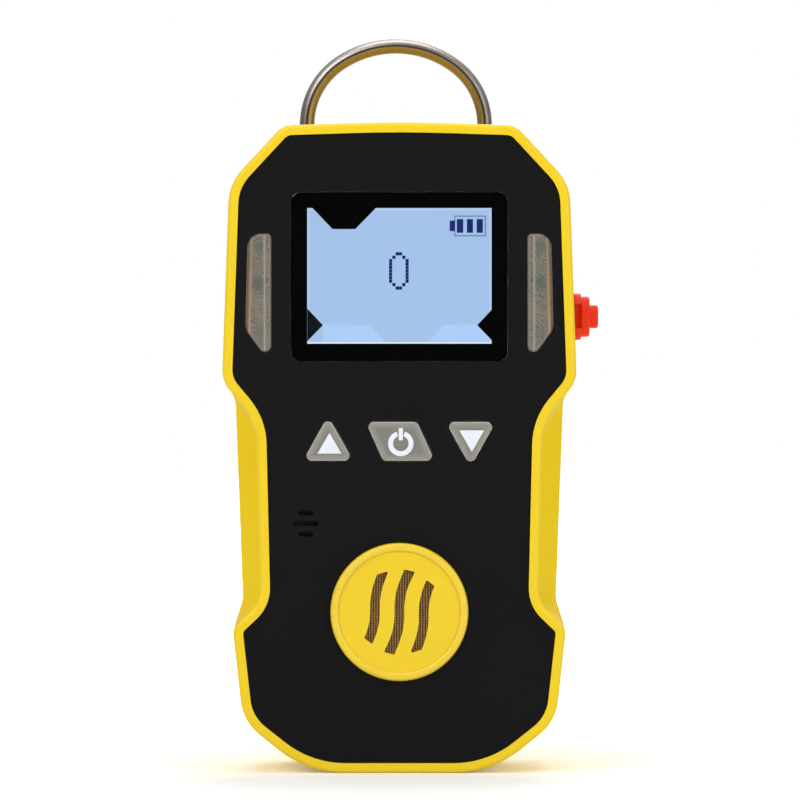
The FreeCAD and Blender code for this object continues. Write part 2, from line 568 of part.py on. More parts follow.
sensor_board = Piece("sensor_board")
sensor_board.add("XZ", "sensor_board_y", [box("-sensor_board_wide/2", "sensor_board_low_z", "sensor_board_wide/2",
                                              "sensor_board_high_z", "board_r")], "board_thick")
sensor_board.add("XZ", "sensor_board_y", [disc(*at, "socket_wide") for at in PINS], "socket_tall", way=-1)
sensor_board.cut("XZ", "sensor_board_y-socket_tall",
                 [disc(*at, "sensor_pin_wide+2*glue_gap") for at in PINS], "socket_tall+board_thick")
SENSOR_POSTS = [("link_x+1", "sensor_board_low_z+3.5")]
sensor_board.cut("XZ", "sensor_board_y", discs(SENSOR_POSTS, "board_screw_wide+2*bolt_gap"), "board_thick")

# --- main board and the small parts on it ---------------------------------------------

board = Piece("main_board")
board.add("XZ", "board_y", [outline(mirrored([
    ("board_waist_x", "board_low_z", "board_r"), ("board_waist_x", "board_waist_z", "board_r"),
    ("board_hip_x", "board_hip_z", "board_r"), ("board_hip_x", "board_step_z", "board_r"),
    ("board_top_x", "board_step_z+2", "board_r"), ("board_top_x", "board_top_z", "board_r"),
]))], "board_thick")
board.cut("XZ", "board_y", [disc(*CAP, "notch_wide")], "board_thick")
board.cut("XZ", "board_y", discs(POSTS, "board_screw_wide+2*bolt_gap"), "board_thick")

chips = Piece("board_chips")
chips.add("XZ", BOARD_BACK, [
    box("chip_x-chip_wide/2", "chip_z-chip_wide/2", "chip_x+chip_wide/2", "chip_z+chip_wide/2"),
    box("-chip_x-chip_wide/2", "chip_z-chip_wide/4", "-chip_x+chip_wide/4", "chip_z+chip_wide/3"),
], "chip_thick")
chips.soften("0.2", flat_at("Y", f"{BOARD_BACK}+chip_thick"), "Chamfer")

leds = Piece("alarm_leds")
LEDS = [(side + across, up) for side in ("", "-") for across in ("led_x",) for up in ("led_low_z", "led_high_z")]
leds.add("XZ", "board_y", [box(f"{x}-led_wide/2", f"{z}-led_wide/2", f"{x}+led_wide/2", f"{z}+led_wide/2")
                           for x, z in LEDS], "led_tall", way=-1)
leds.add("XZ", "board_y-led_tall", [disc(x, z, "led_dome") for x, z in LEDS], "led_dome/2", way=-1)
leds.soften("led_dome/2-0.05", flat_at("Y", "board_y-led_tall-led_dome/2"))

links = Piece("board_links")
links.add("XZ", BOARD_BACK, [box(f"{side}link_x-link_wide/2", "link_z-link_tall/2", f"{side}link_x+link_wide/2",
                                 "link_z+link_tall/2") for side in ("", "-")], f"sensor_board_y-{BOARD_BACK}")


def screw_set(name, places, letters_y, head, head_tall, wide, long, toward):
    """A set of equal screws: heads stand from a seat one way, shanks the other way."""
    screws = Piece(name)
    screws.add("XZ", letters_y, discs(places, head), head_tall, way=-toward)
    screws.soften("0.3", flat_at("Y", f"{letters_y}-({toward})*{head_tall}"), "Chamfer")
    screws.add("XZ", letters_y, discs(places, wide), long, way=toward)
    screws.cut("XZ", f"{letters_y}-({toward})*{head_tall}", discs(places, f"{head}*0.4"),
               f"{head_tall}*0.6", way=toward)
    return screws


screw_set("board_screws", POSTS, BOARD_BACK, "board_head_wide", "board_head_tall", "board_screw_wide",
          "board_screw_long", -1)
screw_set("sensor_board_screws", SENSOR_POSTS, "sensor_board_y", "board_head_wide", "board_head_tall",
          "board_screw_wide", "board_screw_long", 1)

# --- battery --------------------------------------------------------------------------

BATTERY = ("battery_wide", "battery_low_z", "battery_high_z")
battery = Piece("battery_cell")
battery.add("XZ", BATTERY_FRONT, [box("-battery_wide/2", "battery_low_z", "battery_wide/2", "battery_high_z",
                                      "battery_r")], "battery_deep")
battery.soften("battery_r/2", flat_at("Y", BATTERY_BACK))
battery.soften("battery_r/2", flat_at("Y", BATTERY_FRONT))

pad = Piece("battery_pad")
pad.add("XZ", BOARD_BACK, [box("-battery_wide/2+pad_margin", "battery_low_z+pad_margin",
                               "battery_wide/2-pad_margin", "battery_high_z-pad_margin")], "pad_thick")

# --- charging port and its rubber plug ------------------------------------------------

PORT = ("port_y", "port_z")
jack = Piece("charge_jack")
jack.add("YZ", "port_left_x", [box("port_y-port_body/2", "port_z-port_body/2", "port_y+port_body/2",
                                   "port_z+port_body/2")], "port_right_x-port_left_x")
jack.cut("YZ", "port_right_x", [disc(*PORT, "port_bore")], "port_bore_long", way=-1)
jack.add("YZ", "port_right_x-port_bore_long", [disc(*PORT, "port_pin")], "port_bore_long-1.5")

plug = Piece("port_plug")
plug.add("YZ", "plug_reach", [disc(*PORT, "plug_stem")], "plug_seat_x-plug_reach")
plug.add("YZ", "plug_seat_x", [disc(*PORT, "plug_flange")], "plug_flange_x-plug_seat_x")
plug.soften("plug_round", flat_at("X", "plug_flange_x"))
plug.add("YZ", "plug_flange_x", [disc(*PORT, "plug_disc")], "plug_disc_x-plug_flange_x")
plug.soften("plug_round", flat_at("X", "plug_disc_x"))
plug.add("YZ", "plug_disc_x", [disc(*PORT, "plug_knob")], "plug_knob_x-plug_disc_x")
plug.soften("plug_round", flat_at("X", "plug_knob_x"))
plug.cut("YZ", "plug_seat_x", [box("port_y-plug_flange/2-1", "port_z-plug_notch/2",
                                   "port_y-plug_flange/2+plug_notch_deep/3", "port_z+plug_notch/2")],
         "plug_flange_x-plug_seat_x")
plug.cut("YZ", "plug_reach", [disc(*PORT, "plug_pin_bore")], "plug_pin_deep")

# --- vibration motor ------------------------------------------------------------------

MOTOR = ("motor_y", "motor_z")
motor = Piece("vibration_motor")
motor.add("YZ", "motor_x", [disc(*MOTOR, "motor_wide")], "motor_long")
motor.soften("0.4", lambda b: near(b.XMin, b.XMax))
motor.cut("YZ", "motor_x+motor_long", [disc(*MOTOR, "shaft_wide+2*pin_gap")], "3", way=-1)

weight = Piece("motor_weight")
weight.add("YZ", "motor_x+motor_long-2", [disc(*MOTOR, "shaft_wide")], "2+weight_gap+weight_long")
weight.add("YZ", "motor_x+motor_long+weight_gap", [disc(*MOTOR, "2*weight_r")], "weight_long")
weight.cut("YZ", "motor_x+motor_long+weight_gap", [box("motor_y-weight_r-1", "motor_z+shaft_wide/2",
           "motor_y+weight_r+1", "motor_z+weight_r+1")], "weight_long")

strap = Piece("motor_strap")
STRAP_TOP = "motor_wide/2+strap_thick"
strap.add("YZ", "motor_x+2", [box("motor_y", f"motor_z-{STRAP_TOP}", "board_y", f"motor_z+{STRAP_TOP}")],
          "strap_long")
strap.add("YZ", "motor_x+2", [disc(*MOTOR, f"2*({STRAP_TOP})")], "strap_long")
strap.cut("YZ", "motor_x+2", [disc(*MOTOR, "motor_wide")], "strap_long")
strap.cut("YZ", "motor_x+2", [box("motor_y", "motor_z-motor_wide/2", "board_y", "motor_z+motor_wide/2")],
          "strap_long")

# --- rear cover -----------------------------------------------------------------------

rear = Piece("rear_cover")
rear.add("XZ", "parting_y", [BACK_CASE], "shadow_tall", grow="-shadow_deep")
rear.add("XZ", "parting_y+shadow_tall", [BACK_CASE], "back_y-parting_y-shadow_tall")
rear.soften("back_round", flat_at("Y", "back_y"))
rear.cut("XZ", "parting_y", [BACK_CASE], f"{FLOOR_Y}-parting_y", grow="-wall")
rear.cut("XZ", "parting_y", [BACK_CASE], "seal_tall", grow="-seal_edge")
rear.add("XZ", "parting_y", discs(BOSSES, "boss_wide"), f"{FLOOR_Y}-parting_y")
rear.add("XZ", FLOOR_Y, discs(SENSOR_POSTS, "post_wide"), f"{FLOOR_Y}-sensor_board_y-board_thick", way=-1)
CLIP_SCREWS = [("0", "clip_screw_low_z"), ("0", "clip_screw_high_z")]
rear.add("XZ", FLOOR_Y, [disc(*at, "clip_post") for at in CLIP_SCREWS], f"{FLOOR_Y}-clip_post_y", way=-1)
rear.add("XZ", FLOOR_Y, [
    box(f"{side}rib_x-rib_thick/2", "battery_low_z+battery_r+1", f"{side}rib_x+rib_thick/2",
        "battery_high_z-battery_r-1") for side in ("", "-")
], f"{FLOOR_Y}-{BATTERY_BACK}", way=-1)
rear.add("XZ", "block_y", [box("-block_x", "block_low_z", "block_x", "block_high_z")], f"{FLOOR_Y}-block_y+0.5")
NOTCH_Y = "(bail_pivot_y-bail_wire/2-notch_gap)"
NOTCH_Z = "(bail_pivot_z-bail_wire/2-notch_gap)"
rear.cut("XZ", NOTCH_Y, [
    box("bail_shift+notch_in_x", NOTCH_Z, "bail_shift+notch_out_x", "top_z+2"),
    box("bail_shift-notch_out_x", NOTCH_Z, "bail_shift-notch_in_x", "top_z+2"),
], f"back_y-{NOTCH_Y}+1")
BUSHING_BED = [disc("bail_pivot_y", "bail_pivot_z", "bushing_wide")]
rear.cut("YZ", "bail_shift+notch_in_x", BUSHING_BED, "bushing_long", way=-1)
rear.cut("YZ", "bail_shift-notch_in_x", BUSHING_BED, "bushing_long")
rear.cut("XZ", "back_y", [box("-label_wide/2", "label_low_z", "label_wide/2", "label_high_z", "label_r")],
         "label_deep", way=-1)
rear.cut("XZ", "parting_y", discs(BOSSES, "screw_hole"), "back_y-parting_y")
rear.cut("XZ", "screw_seat_y", discs(BOSSES, "screw_recess"), "back_y-screw_seat_y")
rear.cut("XZ", "sensor_board_y", discs(SENSOR_POSTS, "board_screw_wide+2*bolt_gap"), "board_screw_long")
rear.cut("XZ", "back_y", [disc(*at, "clip_screw_wide+2*bolt_gap") for at in CLIP_SCREWS],
         "clip_screw_long-base_thick", way=-1)

seal = Piece("case_seal")
seal.add("XZ", "parting_y", [BACK_CASE], "seal_tall", grow="-seal_edge-glue_gap")
seal.cut("XZ", "parting_y", [BACK_CASE], "seal_tall", grow="-wall")
seal.cut("XZ", "parting_y", discs(BOSSES, "boss_wide+2*glue_gap"), "seal_tall")

inserts = Piece("threaded_inserts")
inserts.add("XZ", "parting_y", discs(BOSSES, "insert_wide") + discs(BOSSES, "insert_bore"),
            "insert_long", way=-1)

screw_set("case_screws", BOSSES, "screw_seat_y", "screw_head", "screw_head_tall", "screw_wide", "screw_long", -1)

# --- wire bail and its bushings -------------------------------------------------------


def bail_path(sketch):
    """Trunnion, elbow, leg, flattened arch of three arcs, leg, elbow, trunnion."""
    turn = Vector(0, 0, 1)
    end, half, elbow = number("bail_end_x"), number("bail_half"), number("bail_elbow_r")
    low, leg, flat, top = (number(f"bail_{name}") for name in ("pivot_z", "leg_z", "top_r", "top_z"))
    rise = top - leg
    side = (2 * rise * flat - half ** 2 - rise ** 2) / (2 * (flat - half))
    lean = math.degrees(math.atan2(half - side, flat - rise))

    def arc(across, up, radius, start, stop):
        circle = Part.Circle(Vector(across, up, 0), turn, radius)
        return Part.ArcOfCircle(circle, math.radians(start), math.radians(stop))

    parts = [
        Part.LineSegment(Vector(-end, low, 0), Vector(elbow - half, low, 0)),
        arc(elbow - half, low + elbow, elbow, 180, 270),
        Part.LineSegment(Vector(-half, low + elbow, 0), Vector(-half, leg, 0)),
        arc(side - half, leg, side, 90 + lean, 180),
        arc(0, top - flat, flat, 90 - lean, 90 + lean),
        arc(half - side, leg, side, 0, 90 - lean),
        Part.LineSegment(Vector(half, leg, 0), Vector(half, low + elbow, 0)),
        arc(half - elbow, low + elbow, elbow, 270, 360),
        Part.LineSegment(Vector(half - elbow, low, 0), Vector(end, low, 0)),
    ]
    g = [sketch.addGeometry(part, False) for part in parts]
    for joint in ((0, 2, 1, 2), (1, 1, 2, 1), (2, 2, 3, 2), (3, 1, 4, 2), (4, 1, 5, 2), (5, 1, 6, 1),
                  (6, 2, 7, 2), (7, 1, 8, 1)):
        first, start, second, finish = joint
        sketch.addConstraint(Sketcher.Constraint("Tangent", g[first], start, g[second], finish))
    for line, lie in ((0, "Horizontal"), (2, "Vertical"), (6, "Vertical"), (8, "Horizontal")):
        sketch.addConstraint(Sketcher.Constraint(lie, g[line]))
    pin_point(sketch, g[0], 1, "-bail_end_x", "bail_pivot_z")
    pin_point(sketch, g[8], 2, "bail_end_x", "bail_pivot_z")
    pin_point(sketch, g[2], 2, "-bail_half", "bail_leg_z")
    pin_point(sketch, g[6], 1, "bail_half", "bail_leg_z")
    pin_point(sketch, g[4], 3, "0", "bail_top_z-bail_top_r")
    tie(sketch, Sketcher.Constraint("Radius", g[4], flat), "bail_top_r")
    tie(sketch, Sketcher.Constraint("Radius", g[1], elbow), "bail_elbow_r")
    tie(sketch, Sketcher.Constraint("Radius", g[7], elbow), "bail_elbow_r")


bail = Piece("bail", at=("bail_shift", "0", "0"))
path = bail.sketch("XZ", "bail_pivot_y", [bail_path])
wire = bail.sketch("YZ", "-bail_end_x", [disc("bail_pivot_y", "bail_pivot_z", "bail_wire")])
sweep = bail.body.newObject("PartDesign::AdditivePipe", "bail_sweep")
sweep.Profile = wire
sweep.Spine = (path, [f"Edge{i}" for i in range(1, 10)])
bail.soften("0.3", lambda b, end=number("bail_end_x"): near(b.XMin, b.XMax) and b.XLength < 0.1
            and (near(abs(b.XMin), end) or near(abs(b.XMin - number("bail_shift")), end)), "Chamfer")

bushings = Piece("bail_bushings", at=("bail_shift", "0", "0"))
for side, way in (("", -1), ("-", 1)):
    bushings.add("YZ", f"{side}notch_in_x", [disc("bail_pivot_y", "bail_pivot_z", "bushing_wide"),
                 disc("bail_pivot_y", "bail_pivot_z", "bail_wire+2*bushing_gap")], "bushing_long", way=way)

# --- belt clip ------------------------------------------------------------------------

PIVOT = ("pin_y", "pin_z")
base = Piece("clip_base")
base.add("XZ", "back_y", [box("-base_wide/2", "base_low_z", "base_wide/2", "base_high_z", "base_r")], "base_thick")
base.soften("0.5", flat_at("Y", "back_y+base_thick"))
EAR_FOOT = [box("back_y+base_thick/2", "pin_z-ear_r", "pin_y", "pin_z+ear_r")]
for side in ("", "-"):
    start = "ear_in_x" if side == "" else "-ear_out_x"
    base.add("YZ", start, EAR_FOOT, "ear_out_x-ear_in_x")
    base.add("YZ", start, [disc(*PIVOT, "2*ear_r")], "ear_out_x-ear_in_x")
base.cut("YZ", "-base_wide/2", [disc(*PIVOT, "pin_wide+2*bolt_gap")], "base_wide")
base.cut("XZ", "back_y", [disc(*at, "clip_screw_wide+2*slide_gap") for at in CLIP_SCREWS], "base_thick")
base.cut("XZ", "back_y+base_thick-clip_screw_head_tall",
         [disc(*at, "clip_screw_head+2*glue_gap") for at in CLIP_SCREWS],
         "clip_screw_head_tall")

LEVER_BACK = "(lever_in_y+lever_thick)"
lever = Piece("clip_lever")
lever.add("YZ", "-lever_wide/2", [outline([
    ("hook_y", "lever_low_z", None), (LEVER_BACK, "lever_low_z", "lever_thick*1.6"),
    (LEVER_BACK, "thumb_z", "6"), (f"{LEVER_BACK}+thumb_out", "lever_top_z", None),
    ("lever_in_y+thumb_out", "lever_top_z", None), ("lever_in_y", "thumb_z", "6"),
    ("lever_in_y", "lever_low_z+hook_tall", "1.2"), ("hook_y", "lever_low_z+hook_tall-1", None),
])], "lever_wide")
for side in ("", "-"):
    start = "knuckle_in_x" if side == "" else "-lever_wide/2"
    lever.add("YZ", start, [box("pin_y", "pin_z-knuckle_r", "lever_in_y+lever_thick/2", "pin_z+knuckle_r")],
              "lever_wide/2-knuckle_in_x")
    lever.add("YZ", start, [disc(*PIVOT, "2*knuckle_r")], "lever_wide/2-knuckle_in_x")
lever.cut("YZ", "-lever_wide/2", [disc(*PIVOT, "pin_wide+2*pin_gap")], "lever_wide")
GRIPS = [disc(f"{LEVER_BACK}+thumb_out*{share}", f"thumb_z+(lever_top_z-thumb_z)*{share}", "grip_wide")
         for share in (0.35, 0.57, 0.79)]
lever.add("YZ", "-lever_wide/2+grip_end", GRIPS, "lever_wide-2*grip_end")
lever.cut("XZ", "lever_in_y", [box("-knuckle_in_x", "lever_low_z+hook_tall+8", "knuckle_in_x",
                                   "pin_z-knuckle_r-12", "2.5")], "lever_thick")
lever.soften("0.4", lambda b, half=number("lever_wide/2"): near(abs(b.XMin), half) and near(b.XMin, b.XMax)
             and b.YMax > number("lever_in_y+lever_thick-0.1") and b.ZLength > 5, "Chamfer")

pin = Piece("clip_pin")
pin.add("YZ", "-pin_long/2", [disc(*PIVOT, "pin_wide")], "pin_long")
pin.soften("0.3", lambda b: near(b.XMin, b.XMax), "Chamfer")

clip_screws = Piece("clip_screws")
SEAT = "back_y+base_thick-clip_screw_head_tall"
clip_screws.add("XZ", SEAT, [disc(*at, "clip_screw_head") for at in CLIP_SCREWS], "clip_screw_head_tall")
clip_screws.add("XZ", SEAT, [disc(*at, "clip_screw_wide") for at in CLIP_SCREWS],
                "clip_screw_long-clip_screw_head_tall-0.4", way=-1)
clip_screws.cut("XZ", "back_y+base_thick", [disc(*at, "clip_screw_head*0.4") for at in CLIP_SCREWS],
                "clip_screw_head_tall*0.6", way=-1)

# --- torsion spring: coil round the pin, one arm on the base, one on the lever --------

HALF_TURNS = 9
HALF_COIL = f"spring_pitch*{HALF_TURNS}/4"
spring = Piece("clip_spring", at=("0", "pin_y", "pin_z"))
for turn in range(HALF_TURNS):
    side, lean = ("-", "-") if turn % 2 == 0 else ("", "")
    start_x = f"(spring_pitch*{turn}/2-{HALF_COIL})"
    section = spring.sketch("XY", "0", [disc(start_x, f"{side}spring_wide/2", "spring_wire")])
    middle_x = f"{start_x}+spring_pitch/4"
    axis = section.addGeometry(Part.LineSegment(
        Vector(number(middle_x), 0, 0),
        Vector(number(f"{middle_x}+spring_wide/2"), number(f"{lean}spring_pitch/4"), 0)), True)
    pin_point(section, axis, 1, middle_x, "0")
    pin_point(section, axis, 2, f"{middle_x}+spring_wide/2", f"{lean}spring_pitch/4")
    half_turn = spring.body.newObject("PartDesign::Revolution", spring.tag("half_turn"))
    half_turn.Profile = section
    half_turn.ReferenceAxis = (section, ["Axis0"])
    half_turn.Angle = 180
for across, near_y, rest_y, rise in (
    (f"-({HALF_COIL})", "-spring_wide/2", "back_y+base_thick+spring_rest+spring_wire/2-pin_y", "spring_arm"),
    (HALF_COIL, "spring_wide/2", "lever_in_y-spring_rest-spring_wire/2-pin_y", "spring_arm/2"),
):
    spring.loft("PartDesign::AdditiveLoft", spring.sketch("XY", "0", [disc(across, near_y, "spring_wire")]),
                spring.sketch("XY", rise, [disc(across, rest_y, "spring_wire")]))

# --- checks and export ----------------------------------------------------------------

doc.removeObject("Desk")
doc.recompute()
os.makedirs("parts", exist_ok=True)
pieces = [o for o in doc.Objects if o.TypeId == "PartDesign::Body"]
for item in doc.Objects:
    if "Invalid" in item.State or "Error" in item.State:
        raise RuntimeError(f"{item.Name} did not compute: {item.State}")
for piece in pieces:
    shape = piece.Shape
    if shape.isNull() or not shape.isValid() or shape.Volume <= 0:
        raise RuntimeError(f"{piece.Label} has no sound shape")
    shape.exportStep(f"parts/{piece.Label}.step")
    box_ = shape.BoundBox
    print(f"{piece.Label:22s} solids {len(shape.Solids)} volume {shape.Volume:9.1f} "
          f"x {box_.XMin:7.2f} {box_.XMax:7.2f} y {box_.YMin:7.2f} {box_.YMax:7.2f} z {box_.ZMin:7.2f} {box_.ZMax:7.2f}")
print(len(pieces), "sub-parts written")
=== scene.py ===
# %% [markdown]
# # A portable gas detector, from frame to finished picture
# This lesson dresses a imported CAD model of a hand-held gas detector. The CAD model gives every
# size and place, so the first cell loads it as a fixed frame, and nothing in it is moved. All
# lengths in the lesson are written in millimetres and turned into metres by one constant.

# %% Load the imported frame
import math

import bpy
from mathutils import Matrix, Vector


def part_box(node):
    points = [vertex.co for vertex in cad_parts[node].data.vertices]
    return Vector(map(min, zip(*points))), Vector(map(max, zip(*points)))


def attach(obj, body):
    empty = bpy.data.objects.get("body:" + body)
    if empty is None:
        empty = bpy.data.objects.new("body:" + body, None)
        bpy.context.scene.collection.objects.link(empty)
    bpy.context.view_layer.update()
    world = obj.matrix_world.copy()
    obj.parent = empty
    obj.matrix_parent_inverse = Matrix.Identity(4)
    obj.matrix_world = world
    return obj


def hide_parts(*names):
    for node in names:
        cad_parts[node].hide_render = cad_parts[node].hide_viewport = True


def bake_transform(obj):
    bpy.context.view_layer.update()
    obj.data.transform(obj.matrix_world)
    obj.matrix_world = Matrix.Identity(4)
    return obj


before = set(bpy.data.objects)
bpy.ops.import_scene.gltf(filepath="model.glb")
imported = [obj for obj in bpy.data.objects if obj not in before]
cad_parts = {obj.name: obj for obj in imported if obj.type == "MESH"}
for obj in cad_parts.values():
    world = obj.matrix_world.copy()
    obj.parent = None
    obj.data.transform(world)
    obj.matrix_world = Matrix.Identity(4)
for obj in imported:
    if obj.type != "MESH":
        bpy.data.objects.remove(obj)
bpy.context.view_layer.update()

MM = 0.001


# %% [markdown]
# ## The camera
# The instrument stands upright and is looked at from straight in front, level, from far enough
# away that its sides hardly open up. A long lens a good arm's length off does that. The lens
# length follows from how wide a strip of the front plane should fill the frame.

# %% Set up the camera
FACING_FRONT = (math.pi / 2, 0, 0)
CAMERA_PLACE = Vector((0.12, -815.0, 71.7)) * MM
FRONT_PLANE = -15.0 * MM
VIEW_WIDE = 153.6 * MM
SENSOR_WIDE = 36.0

camera_data = bpy.data.cameras.new("camera")
camera_data.sensor_width = SENSOR_WIDE
camera_data.lens = SENSOR_WIDE * (FRONT_PLANE - CAMERA_PLACE.y) / VIEW_WIDE
camera = bpy.data.objects.new("camera", camera_data)
camera.location = CAMERA_PLACE
camera.rotation_euler = FACING_FRONT
bpy.context.scene.collection.objects.link(camera)
bpy.context.scene.camera = camera
bpy.context.scene.view_settings.view_transform = "Standard"
print("lens in mm:", round(camera_data.lens, 1))

# %% [markdown]
# ## Building a finish from nodes
# Each surface gets a node tree: a pattern read at the surface's own place, shaped by a few maths
# nodes, drives colour, roughness and bump. Wiring nodes by hand takes many lines, so a small
# class keeps the calls short. Every pattern reads Object coordinates, which stay with the piece.

# %% A short way to wire a finish
def srgb(red, green, blue):
    """A colour picked on screen, 0 to 255, as the linear colour that Blender works in."""
    scaled = [v / 255 for v in (red, green, blue)]
    return [v / 12.92 if v <= 0.04045 else ((v + 0.055) / 1.055) ** 2.4 for v in scaled] + [1.0]


def fill(tree, socket, value):
    """Links a socket to another one, or gives it a plain value."""
    if isinstance(value, bpy.types.NodeSocket):
        tree.links.new(value, socket)
    else:
        socket.default_value = value


def add_node(tree, kind, inputs=(), **settings):
    """Adds a shader node to a tree, with its settings and inputs."""
    node = tree.nodes.new("ShaderNode" + kind)
    for setting, value in settings.items():
        setattr(node, setting, value)
    for socket, value in dict(inputs).items():
        fill(tree, node.inputs[socket], value)
    return node


class Finish:
    """One material, with short calls for the nodes this instrument needs."""

    def __init__(self, name, **values):
        self.material = bpy.data.materials.new(name)
        self.material.use_nodes = True
        self.tree = self.material.node_tree
        self.shader = self.tree.nodes["Principled BSDF"]
        self.place = self.add("TexCoord").outputs["Object"]
        self.set(**values)

    def set(self, **values):
        """Plain values or links for the shader's sockets; an underscore stands for a space."""
        for name, value in values.items():
            fill(self.tree, self.shader.inputs[name.replace("_", " ")], value)

    def add(self, kind, inputs=(), **settings):
        """Adds a node to this finish."""
        return add_node(self.tree, kind, inputs, **settings)

    def sum(self, operation, *terms):
        """One step of arithmetic on values or links."""
        return self.add("Math", dict(enumerate(terms)), operation=operation).outputs[0]

    def length(self, first, second):
        """The length of a step whose two parts are at right angles."""
        squares = [self.sum("POWER", part, 2.0) for part in (first, second)]
        return self.sum("SQRT", self.sum("ADD", *squares))

    def axes(self):
        """The surface's x, y and z in millimetres."""
        scaled = self.add("VectorMath", {0: self.place, 3: 1 / MM}, operation="SCALE")
        return self.add("SeparateXYZ", {0: scaled.outputs[0]}).outputs

    def noise(self, size, detail=2.0, stretch=(1, 1, 1), centre=(0, 0, 0)):
        """Cloudy noise from 0 to 1 in lumps of about size millimetres, longer where stretch is
        small."""
        scale = [s / (size * MM) for s in stretch]
        mapped = self.add("Mapping", {"Vector": self.place, "Scale": scale, "Location": centre})
        cloudy = {"Vector": mapped.outputs[0], "Scale": 1.0, "Detail": detail}
        return self.add("TexNoise", cloudy).outputs[0]

    def spread(self, value, low, high, start=0.0, end=1.0, soft=False):
        """Spreads start..end of a value over low..high."""
        node = self.add("MapRange", {0: value, 1: start, 2: end, 3: low, 4: high})
        if soft:
            node.interpolation_type = "SMOOTHSTEP"
        return node.outputs[0]

    def mix(self, share, first, second):
        """The first colour, with a share of the second."""
        return self.add("Mix", {0: share, 6: first, 7: second}, data_type="RGBA").outputs[2]

    def bump(self, height, depth):
        """Roughens the surface: height 0 to 1 stands for depth millimetres."""
        node = self.add("Bump", {"Height": height, "Distance": depth * MM})
        self.set(Normal=node.outputs[0])


def mottled(name, size, dark, light, rough=None, depth=None, detail=2.0, stretch=(1, 1, 1),
            **values):
    """A finish that drifts from a dark to a light tone in lumps of about size millimetres."""
    made = Finish(name, **values)
    lumps = made.noise(size, detail, stretch)
    made.set(Base_Color=made.mix(lumps, srgb(*dark), srgb(*light)))
    if rough:
        made.set(Roughness=made.spread(lumps, *rough))
    if depth:
        made.bump(lumps, depth)
    return made


def give(finish, *nodes):
    """Puts a finish on carried-over CAD nodes."""
    for node in nodes:
        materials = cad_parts[node].data.materials
        materials.clear()
        materials.append(finish.material)
    print(finish.material.name, "on", ", ".join(nodes))


# %% [markdown]
# ## The moulded yellow case
# The case, its back and the round sensor cap are injection moulded in one bright yellow. Real
# mouldings are never one flat colour: the tool is spark eroded to a fine satin grain, and the
# pigment drifts a little. The foremost rims are rubbed glossier than the sides. Paint on the mesh
# would not survive a new pack, so noise and place do all this.

# %% Moulded yellow
CREST_Y, DISC_Y, RIM_Y, DULL_Y = -16.1, -15.3, -14.6, -13.0
yellow = Finish("moulded_yellow")
drift = yellow.noise(14.0, 3.0)
grain = yellow.noise(0.55, 2.0)
x, y, z = yellow.axes()
rim_gloss = yellow.spread(y, 0.42, 0.05, RIM_Y, DULL_Y)
crest_gloss = yellow.spread(y, 0.6, 0.0, CREST_Y, DISC_Y)
yellow.set(
    Base_Color=yellow.mix(drift, srgb(235, 200, 5), srgb(242, 208, 16)),
    Roughness=yellow.spread(grain, 0.34, 0.48),
    Specular_IOR_Level=yellow.sum("ADD", rim_gloss, crest_gloss),
)
yellow.bump(grain, 0.012)
give(yellow, "yellow_jacket", "rear_cover", "sensor_cap")

# %% [markdown]
# ## The black face
# The front cover is a separate black moulding with a fine, dull grain. It has to stay darker
# than grey but not pure black, or its openings would vanish into it.

# %% Satin black face
black = Finish("satin_black", Specular_IOR_Level=0.1)
pits = black.noise(0.4, 3.0)
cloud = black.noise(25.0, 2.0)
black.set(
    Base_Color=black.mix(cloud, srgb(15, 15, 16), srgb(20, 20, 21)),
    Roughness=black.spread(pits, 0.5, 0.72),
)
black.bump(pits, 0.015)
give(black, "front_cover")

# %% [markdown]
# ## Finding faces and edges by place
# By hand one would click on faces. In a script the same choice is made by a rule: a face is
# picked when its middle and its normal pass a test. Everything is deselected first, because a
# new primitive and the loaded frame both start out selected.

# %% Helpers for picking
SAME_PLACE = 0.001 * MM
ALIGNED = 0.9


def start_clean():
    """Leaves edit mode and deselects all, so that the next operator touches only its own piece."""
    if bpy.context.object and bpy.context.object.mode != "OBJECT":
        bpy.ops.object.mode_set(mode="OBJECT")
    bpy.ops.object.select_all(action="DESELECT")


def choose(piece):
    """Makes one piece the active one and the only one selected."""
    start_clean()
    piece.select_set(True)
    bpy.context.view_layer.objects.active = piece


def edit(piece, kind="FACE"):
    """Enters edit mode on one piece with nothing selected."""
    choose(piece)
    bpy.ops.object.mode_set(mode="EDIT")
    bpy.ops.mesh.select_mode(type=kind)
    bpy.ops.mesh.select_all(action="DESELECT")


def pick(piece, kind="FACE", test=lambda mesh, part: True):
    """Selects the faces, edges or vertices of a piece that pass a test, and stays in edit mode."""
    edit(piece, kind)
    bpy.ops.object.mode_set(mode="OBJECT")
    mesh = piece.data
    parts = {"FACE": mesh.polygons, "EDGE": mesh.edges, "VERT": mesh.vertices}[kind]
    chosen = 0
    for part in parts:
        part.select = bool(test(mesh, part))
        chosen += part.select
    bpy.ops.object.mode_set(mode="EDIT")
    return chosen


def ends(mesh, edge):
    """The two ends of an edge."""
    return [mesh.vertices[i].co for i in edge.vertices]


def middle(mesh, edge):
    """The middle of an edge."""
    first, last = ends(mesh, edge)
    return (first + last) / 2


def along(mesh, edge):
    """The direction of an edge."""
    first, last = ends(mesh, edge)
    return (last - first).normalized()


# %% Helpers for starting and finishing a piece
MERGE_GAP = 0.0005 * MM


def settle():
    """Writes the new piece's place, turn and size into its mesh, and hands the piece over."""
    bpy.ops.object.transform_apply(location=True, rotation=True, scale=True)
    return bpy.context.object


def block(centre, size):
    """A box."""
    start_clean()
    bpy.ops.mesh.primitive_cube_add(size=1, location=centre, scale=size)
    return settle()


